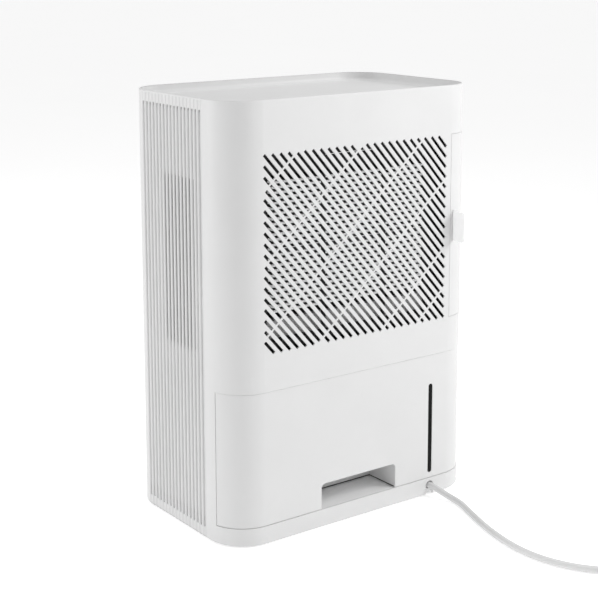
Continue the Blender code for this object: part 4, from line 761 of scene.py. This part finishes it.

# Side baffles: thin sheets of white ABS close behind the side slots, which stop fingers and light.  The
# left one is open where the fan blows the dry air out.  Their colour is painted a shade lighter than the
# casing's, as painted light for the light that comes in through the slots.
BAFFLE_NEAR, BAFFLE_THICKNESS = 0.08 * MM, 0.22 * MM
BAFFLE_FRONT, BAFFLE_FOOT = CENTRE_Y - 76 * MM, 24 * MM
duct_low, duct_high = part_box("fan_scroll")
baffle_painted_light = moulded("baffle_abs_painted_light", "#E6E6E6", "#ECECEC", 0.55, 1.2 * MM, 0.04 * MM, ior=1.54)
for tag, side in (("left", 1), ("right", -1)):
    near, far = (side * (HALF_X - WALL - BAFFLE_NEAR - t) for t in (0.0, BAFFLE_THICKNESS))
    plate = box_of(
        (min(near, far), BAFFLE_FRONT, BAFFLE_FOOT), (max(near, far), COVER_SEAM + 6 * MM, dish_floor - 5 * MM)
    )
    if side > 0:
        duct = box_of((0, duct_low.y - MM, duct_low.z - MM), (FAR, duct_high.y + 4 * MM, duct_high.z + MM))
        plate = carved(plate, ("DIFFERENCE", duct))
    piece(f"side_baffle_{tag}", plate, baffle_painted_light, "cabinet", "white_abs")


# Water tank: a drawer whose front is a white ABS panel that wraps round both corners, with a finger
# pocket in its lower edge and a long level window.  Behind it is the bucket, blow moulded in natural
# polypropylene, with its lid and a foam float on a steel pin.
PANEL_INSET, PANEL_GAP = 0.6 * MM, 0.3 * MM
POCKET_WIDTH, POCKET_TOP, POCKET_DEPTH = 110.0 * MM, 52.0 * MM, 49.5 * MM
POCKET_CORNER, POCKET_TOP_CORNER = 8.5 * MM, 5.0 * MM
WINDOW_X, WINDOW_WIDTH, WINDOW_LOW, WINDOW_HIGH = -109.5 * MM, 6.4 * MM, 28.7 * MM, 140.9 * MM
LENS_FIT = 0.05 * MM


def pocket_block(margin, rear, top_margin):
    """The finger pocket's space, grown by margin."""
    half = POCKET_WIDTH / 2 + margin
    front = REAR_Y - POCKET_DEPTH - margin
    bm = box_of((-half, front, -0.1), (half, rear, POCKET_TOP + top_margin))
    rounded(bm, lambda e: along(e, 1) and centre_of(e).z > 0, POCKET_TOP_CORNER + margin, 6)
    return rounded(bm, lambda e: along(e, 2) and centre_of(e).y < front + 1e-5, POCKET_CORNER + margin, 8)


def pocket_mouth(reach):
    """A flare round the pocket's mouth, where its edge is softened."""
    face_y = REAR_Y - PANEL_INSET
    shapes = []
    for depth, spread in ((reach, 0.0), (reach * 0.4, reach * 0.35)):
        half, top = POCKET_WIDTH / 2 + spread, POCKET_TOP + spread
        bm = box_of((-half, face_y - depth, -0.1), (half, face_y, top))
        rounded(bm, lambda e: along(e, 1) and centre_of(e).z > 0, POCKET_TOP_CORNER + spread, 6)
        grow = reach - spread if spread else reach * 0.35
        for vert in bm.verts:
            if vert.co.y > face_y - 1e-6:
                vert.co.x += math.copysign(grow, vert.co.x)
                vert.co.y += 0.02 * MM
                if vert.co.z > 0:
                    vert.co.z += grow
        shapes.append(("DIFFERENCE", bm))
    return shapes


panel_block = casing_block(
    PANEL_INSET, TANK_FOOT + PANEL_GAP, TANK_TOP - PANEL_GAP, 0.7 * MM, 0.7 * MM
)
panel_block = rear_of(panel_block, TANK_EDGE + PANEL_GAP)
inner_face = REAR_Y - PANEL_INSET - WALL
pocket = kept_beyond(
    pocket_block(WALL, inner_face + WALL / 2, WALL), (0, 0, TANK_FOOT + 1.6 * MM), (0, 0, -1)
)
window = slot_cutter(WINDOW_HIGH - WINDOW_LOW, WINDOW_WIDTH, 2 * WALL, SOFT, WINDOW_WIDTH / 2)
window_spot = (WINDOW_X, REAR_Y - PANEL_INSET + 0.02 * MM, (WINDOW_LOW + WINDOW_HIGH) / 2)
placed(window, Matrix.Translation(window_spot) @ Matrix.Rotation(math.pi / 2, 4, "Y"))
panel = carved(
    panel_block,
    ("DIFFERENCE", casing_block(PANEL_INSET + WALL, -FAR, FAR)),
    ("UNION", pocket),
    ("DIFFERENCE", pocket_block(0, FAR, 0)),
    *pocket_mouth(1.4 * MM),
    ("DIFFERENCE", window),
)
piece("tank_front", panel, white_abs, "tank", "white_abs", "tank_panel")
# A dull black strip with no sheen under the pocket's walls, riding with the drawer: painted shade for the dark
# gap under the tank's panel
gap_painted_shade = moulded("gap_painted_shade_black", "#050505", "#080808", 0.95, 0.5 * MM, 0.10 * MM, Specular_IOR_Level=0.05)
strip = kept_beyond(
    pocket_block(WALL - 0.2 * MM, inner_face - MM, 0), (0, 0, TANK_FOOT + PANEL_GAP + 0.05 * MM), (0, 0, -1)
)
strip = kept_beyond(strip, (0, 0, TANK_FOOT + 1.6 * MM), (0, 0, 1))
strip = carved(strip, ("DIFFERENCE", pocket_block(0.1 * MM, FAR, FAR)))
piece("gap_shade_strip", strip, gap_painted_shade, "tank", "rubber")
# Smoked acrylic: black and even, with only a weak shine behind the panel's edge
smoked = moulded(
    "smoked_lens", "#020202", "#030303", 0.22, 0.5 * MM, 0.004 * MM, ior=1.49, Specular_IOR_Level=0.12
)
lens_low, lens_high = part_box("level_window")
flange = rounded(box_of(lens_low, lens_high), lambda e: along(e, 1), 2.0 * MM, 5)
lens_face = REAR_Y - PANEL_INSET - 0.55 * MM
raised = box_of(
    (WINDOW_X - WINDOW_WIDTH / 2 + LENS_FIT, lens_low.y + 0.3 * MM, WINDOW_LOW + LENS_FIT),
    (WINDOW_X + WINDOW_WIDTH / 2 - LENS_FIT, lens_face, WINDOW_HIGH - LENS_FIT),
)
rounded(raised, lambda e: along(e, 1), WINDOW_WIDTH / 2 - 2 * LENS_FIT, 6)
rounded(raised, lambda e: centre_of(e).y > lens_face - 0.01 * MM, 0.25 * MM, 2)
piece("level_lens", carved(flange, ("UNION", raised)), smoked, "tank", "smoked_lens", "level_window")


# Filter: a black frame with a fine nylon net welded to it, which slides out sideways on its own corner
# cover.  A thin milky tab through a slit in the cover is pulled to take it out.
SLIT_FIT = 0.3 * MM
tab_low, tab_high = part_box("filter_tab")
cover_block = casing_block(-0.15 * MM, FILTER_FOOT + PANEL_GAP, FILTER_HEAD - PANEL_GAP, 0.5 * MM, 0.5 * MM)
cover_block = rear_of(cover_block, FILTER_EDGE + PANEL_GAP)
cover_block = kept_beyond(cover_block, (FILTER_SEAM - PANEL_GAP, 0, 0), (1, 0, 0))
slit = box_of(
    (tab_low.x - SLIT_FIT, REAR_Y - 2 * WALL, tab_low.z - SLIT_FIT),
    (tab_high.x + SLIT_FIT, FAR, tab_high.z + SLIT_FIT),
)
cover = carved(cover_block, ("DIFFERENCE", casing_block(WALL, -FAR, FAR)), ("DIFFERENCE", slit))
piece("filter_corner", cover, white_abs, "filter", "white_abs", "filter_cover")
tab = box_of(tab_low, tab_high)
rounded(tab, lambda e: along(e, 0) and centre_of(e).y > REAR_Y, 5.0 * MM, 8)
rounded(tab, lambda e: not along(e, 0) and abs(centre_of(e).x - tab_low.x) < 1e-6, 0.5 * MM, 2)
rounded(tab, lambda e: not along(e, 0) and abs(centre_of(e).x - tab_high.x) < 1e-6, 0.5 * MM, 2)
# Polypropylene, thin and unpigmented: light spreads inside it, which gives a milky look
milky = moulded(
    "tab_polypropylene",
    "#F4F4F4",
    "#F8F8F8",
    0.3,
    0.8 * MM,
    0.02 * MM,
    ior=1.49,
    Subsurface_Weight=1.0,
    Subsurface_Scale=0.005,
    Subsurface_Radius=(1.0, 1.0, 1.0),
)
piece("filter_pull_tab", tab, milky, "filter", "tab_polypropylene", "filter_tab")

# Nylon: black threads, drawn at a 2 mm pitch because the real net is too fine to show
net_nylon = moulded("filter_net", "#0E0E0F", "#141415", 0.55, 0.4 * MM, 0.02 * MM)
NET_PITCH, NET_WIRE = 2.0 * MM, 0.09 * MM
net_low, net_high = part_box("filter_net")
wires = []
for axis, depth in ((0, 0.65), (2, 0.35)):
    span = net_high[axis] - net_low[axis]
    count = round(span / NET_PITCH)
    other = 2 - axis
    for k in range(count):
        bm = bmesh.new()
        bmesh.ops.create_cone(
            bm,
            cap_ends=True,
            segments=6,
            radius1=NET_WIRE,
            radius2=NET_WIRE,
            depth=net_high[other] - net_low[other],
        )
        if axis == 2:
            bmesh.ops.rotate(bm, cent=(0, 0, 0), matrix=Matrix.Rotation(math.pi / 2, 3, "Y"), verts=bm.verts)
        spot = (net_low + net_high) / 2
        spot[axis] = net_low[axis] + (k + 0.5) * span / count
        spot.y = net_low.y + depth * (net_high.y - net_low.y)
        wires.append(placed(bm, Matrix.Translation(spot)))
piece("filter_mesh", gathered(wires), net_nylon, "filter", "filter_net", "filter_net")


# Inside: black ABS housings, an evaporator and a condenser of flat aluminium tubes with thin fins
# between them, a fan in a scroll, a compressor on rubber grommets, and copper pipes brazed between them.
# They show as light and dark dashes through the intake, and whole when the covers are off.
def body_under(node):
    """The body that a CAD node rides on."""
    found = body_of(frame["nodes"][node])
    return found[0] if isinstance(found, (list, tuple)) else found


def dressed(name, material, slot, edge, angle=32):
    """A piece in the CAD node's own shape, smooth where it is round, with its sharp edges softened."""
    source = frame["nodes"][name]
    bm = bmesh.new()
    bm.from_mesh(source.data)
    bmesh.ops.remove_doubles(bm, verts=bm.verts, dist=2e-6)
    bmesh.ops.dissolve_limit(bm, angle_limit=math.radians(1), verts=bm.verts, edges=bm.edges)
    made = link_object(f"{name}_finished", mesh_from(bm, name))
    made.data.materials.append(material)
    made.data.shade_smooth()
    made.data.set_sharp_from_angle(angle=math.radians(angle))
    if edge:
        soft = made.modifiers.new("soft_edges", "BEVEL")
        soft.width = edge
        soft.segments = 2
        soft.limit_method = "ANGLE"
        soft.angle_limit = math.radians(40)
        soft.harden_normals = True
    return in_body(made, body_under(name), slot, name)


def metal(name, dark, light, roughness, marks, depth):
    """A bare metal: a tone that drifts as it dulls in the air, and fine marks along its grain."""
    made, tree, shader, place = new_material(name, light, Metallic=1.0)
    drift = add_node(tree, "ShaderNodeTexNoise", {}, {"Vector": place, "Scale": 35.0, "Detail": 4.0})
    tint = add_node(tree, "ShaderNodeValToRGB", {}, {"Fac": drift.outputs["Fac"]})
    tint.color_ramp.elements[0].color, tint.color_ramp.elements[1].color = srgb(dark), srgb(light)
    tree.links.new(tint.outputs["Color"], shader.inputs["Base Color"])
    drawn = add_node(tree, "ShaderNodeMapping", {}, {"Vector": place, "Scale": marks})
    grain = add_node(
        tree, "ShaderNodeTexNoise", {}, {"Vector": drawn.outputs["Vector"], "Scale": 1.0, "Detail": 3.0}
    )
    gloss = add_node(
        tree,
        "ShaderNodeMapRange",
        {},
        {"Value": grain.outputs["Fac"], "To Min": roughness - 0.12, "To Max": roughness + 0.12},
    )
    tree.links.new(gloss.outputs["Result"], shader.inputs["Roughness"])
    bump = add_node(
        tree, "ShaderNodeBump", {}, {"Height": grain.outputs["Fac"], "Strength": 0.4, "Distance": depth}
    )
    tree.links.new(bump.outputs["Normal"], shader.inputs["Normal"])
    return made


GLOW = (1.0, 1.0, 1.0, 1.0)
# ABS, black, from a textured mould: dull, with a fine even grain
inner_abs = moulded("inner_abs", "#151617", "#1C1D1F", 0.5, 1.0 * MM, 0.06 * MM)
# Polypropylene, black, from a polished mould: a little glossier than the housings
fan_plastic = moulded("fan_polypropylene", "#111213", "#18191B", 0.38, 0.8 * MM, 0.03 * MM)
# Rubber: nearly black, with no sheen
rubber = moulded("rubber", "#1A1A1A", "#232322", 0.75, 0.6 * MM, 0.08 * MM)
# Enamel, sprayed and baked on steel: glossy black with an orange peel of about 2 mm
enamel = moulded("black_enamel", "#0D0E0F", "#131415", 0.28, 2.2 * MM, 0.12 * MM, Coat_Weight=0.4)
# Closed-cell polyethylene foam: off-white and chalky, with cells drawn at 1.6 mm to show
foam = moulded("float_foam", "#E7E4DC", "#F1EEE7", 0.85, 1.6 * MM, 0.25 * MM, ior=1.4)
# Epoxy board under solder mask: deep green, fairly glossy
board_green = moulded("circuit_board", "#0F4A2C", "#166039", 0.35, 3.0 * MM, 0.04 * MM)
# Polypropylene, blow moulded and unpigmented: cloudy, and light passes through it
polypropylene = moulded(
    "tank_polypropylene", "#DCE2E6", "#E6EBEE", 0.38, 1.4 * MM, 0.05 * MM, ior=1.49, Transmission_Weight=0.55
)
# Copper, drawn: a warm metal that dulls unevenly
copper = metal("copper", "#A8623F", "#C98462", 0.3, (600.0, 600.0, 600.0), 0.03 * MM)
# Aluminium with a pale coating: nearly white; a faint glow stands for light scattered between the fins
coated = moulded(
    "aluminium_tubes",
    "#E4E5E6",
    "#EDEEEE",
    0.45,
    0.6 * MM,
    0.03 * MM,
    Metallic=0.12,
    Emission_Color=GLOW,
    Emission_Strength=0.36,
)
# Aluminium foil fins, coloured near black as painted shade: they show as dark gaps between the tubes
fins_painted_shade = moulded("fins_painted_shade_black", "#101112", "#18191A", 0.6, 0.6 * MM, 0.03 * MM)
# ABS, white: the sensor's holder, with a painted glow like the tubes', which stands for light reaching it
# behind the intake
sensor_abs_painted_glow = moulded(
    "sensor_abs_painted_glow", "#DCDCDC", "#E2E2E2", 0.5, 0.9 * MM, 0.05 * MM, Emission_Color=GLOW, Emission_Strength=0.45
)
# ABS, white: the base, coloured lighter than the casing as painted light, which brightens the floor of the
# finger pocket
base_abs_painted_light = moulded("base_abs_painted_light", "#F3F3F3", "#F7F7F7", 0.5, 0.9 * MM, 0.05 * MM, ior=1.54)
# Zinc on pressed and turned steel: cool grey, with fine marks
zinc = metal("zinc_steel", "#A9ACA8", "#C6C8C3", 0.38, (300.0, 300.0, 300.0), 0.03 * MM)

TUBE_PITCH, TUBE_THICKNESS, TUBE_RECESS = 5.84 * MM, 1.9 * MM, 0.2 * MM
FIN_PITCH, FIN_THICKNESS, FIN_RECESS, HEADER_WIDTH = 2.0 * MM, 0.2 * MM, 3.0 * MM, 11.0 * MM
TUBE_ENDS_FREE = 2  # tube places left empty, one at the top and one at the bottom
for node in ("evaporator", "condenser"):
    low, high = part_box(node)
    shapes, plates = [], []
    count = math.floor((high.z - low.z) / TUBE_PITCH) - TUBE_ENDS_FREE
    first = (low.z + high.z) / 2 - (count - 1) * TUBE_PITCH / 2
    for k in range(count):
        z = first + k * TUBE_PITCH
        flat_tube = box_of(
            (low.x + MM, low.y + TUBE_RECESS, z - TUBE_THICKNESS / 2),
            (high.x - HEADER_WIDTH, high.y - TUBE_RECESS, z + TUBE_THICKNESS / 2),
        )
        shapes.append(rounded(flat_tube, lambda e: along(e, 0), TUBE_THICKNESS * 0.45, 3))
    fins = math.floor((high.x - low.x - 2 * HEADER_WIDTH) / FIN_PITCH)
    for k in range(fins):
        x = (low.x + high.x) / 2 + (k - (fins - 1) / 2) * FIN_PITCH
        plates.append(
            box_of(
                (x - FIN_THICKNESS / 2, low.y + FIN_RECESS, low.z + MM),
                (x + FIN_THICKNESS / 2, high.y - FIN_RECESS, high.z - MM),
            )
        )
    for x in (low.x + HEADER_WIDTH / 2, high.x - HEADER_WIDTH / 2):
        r, h = HEADER_WIDTH / 2, high.z - low.z
        end = [(0, 0), (r * 0.6, 0), (r * 0.9, 0.6 * MM), (r, 2 * MM)]
        profile = end + [(a, h - b) for a, b in reversed(end)]
        header = turned(profile, (x, (low.y + high.y) / 2, low.z), (0, 0, 1), 28)
        plates.append(header)
    piece(f"{node}_core", gathered(shapes), coated, "cabinet", "aluminium_fins", node)
    piece(f"{node}_fins", gathered(plates), fins_painted_shade, "cabinet", "aluminium_fins")

for name, material, slot, edge in (
    ("base_pan", base_abs_painted_light, "white_abs", 0.6),
    ("coil_shroud", inner_abs, "inner_abs", 0.5),
    ("divider_wall", inner_abs, "inner_abs", 0.5),
    ("tank_bay_deck", inner_abs, "inner_abs", 0.5),
    ("drip_tray", white_abs, "white_abs", 0.5),
    ("fan_scroll", inner_abs, "inner_abs", 0.5),
    ("fan_inlet_plate", inner_abs, "inner_abs", 0.5),
    ("fan_motor", zinc, "zinc_steel", 0.5),
    ("fan_shaft", zinc, "zinc_steel", 0.4),
    ("fan_wheel", fan_plastic, "fan_polypropylene", 0.0),
    ("compressor", enamel, "black_enamel", 0.0),
    ("electrics_box", inner_abs, "inner_abs", 0.8),
    ("run_capacitor", zinc, "zinc_steel", 0.5),
    ("filter_drier", copper, "copper", 0.4),
    ("discharge_pipe", copper, "copper", 0.0),
    ("suction_pipe", copper, "copper", 0.0),
    ("liquid_pipe", copper, "copper", 0.0),
    ("capillary_pipe", copper, "copper", 0.0),
    ("humidity_sensor", sensor_abs_painted_glow, "white_abs", 0.6),
    ("filter_frame", inner_abs, "inner_abs", 0.4),
    ("control_board", board_green, "circuit_board", 0.2),
    ("control_bezel", inner_abs, "inner_abs", 0.5),
    ("display_lens", smoked, "smoked_lens", 0.5),
    ("lead_gland", white_abs, "white_abs", 0.5),
    ("lead_clamp", inner_abs, "inner_abs", 0.6),
    ("float_switch", inner_abs, "inner_abs", 0.6),
    ("float_pin", zinc, "zinc_steel", 0.3),
    ("tank_float", foam, "float_foam", 0.8),
    ("tank_bucket", polypropylene, "tank_polypropylene", 0.5),
    ("tank_lid", polypropylene, "tank_polypropylene", 0.5),
    *((f"compressor_grommet_{k}", rubber, "rubber", 0.4) for k in (1, 2, 3)),
    *((f"compressor_stud_{k}", zinc, "zinc_steel", 0.3) for k in (1, 2, 3)),
    *((f"foot_{k}", rubber, "rubber", 0.8) for k in (1, 2, 3, 4)),
):
    dressed(name, material, slot, edge * MM)


# Front controls: three round push buttons in white ABS, each with a shallow dish for a fingertip.
for k in (1, 2, 3):
    low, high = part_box(f"button_{k}")
    r, middle_x, middle_z = (high.x - low.x) / 2, (low.x + high.x) / 2, (low.z + high.z) / 2
    cap = [(0.0, 0.55 * MM), (r * 0.35, 0.5 * MM), (r * 0.62, 0.3 * MM), (r * 0.8, 0.06 * MM), (r * 0.88, 0.0)]
    cap += [(r - 0.35 * MM, 0.1 * MM), (r - 0.08 * MM, 0.35 * MM), (r, 0.7 * MM)]
    profile = [(a, low.y + b) for a, b in cap] + [(r, high.y), (0.0, high.y)]
    button = turned(profile, (middle_x, 0, middle_z), (0, 1, 0), 48)
    piece(f"push_button_{k}", button, white_abs, body_under(f"button_{k}"), "white_abs", f"button_{k}")
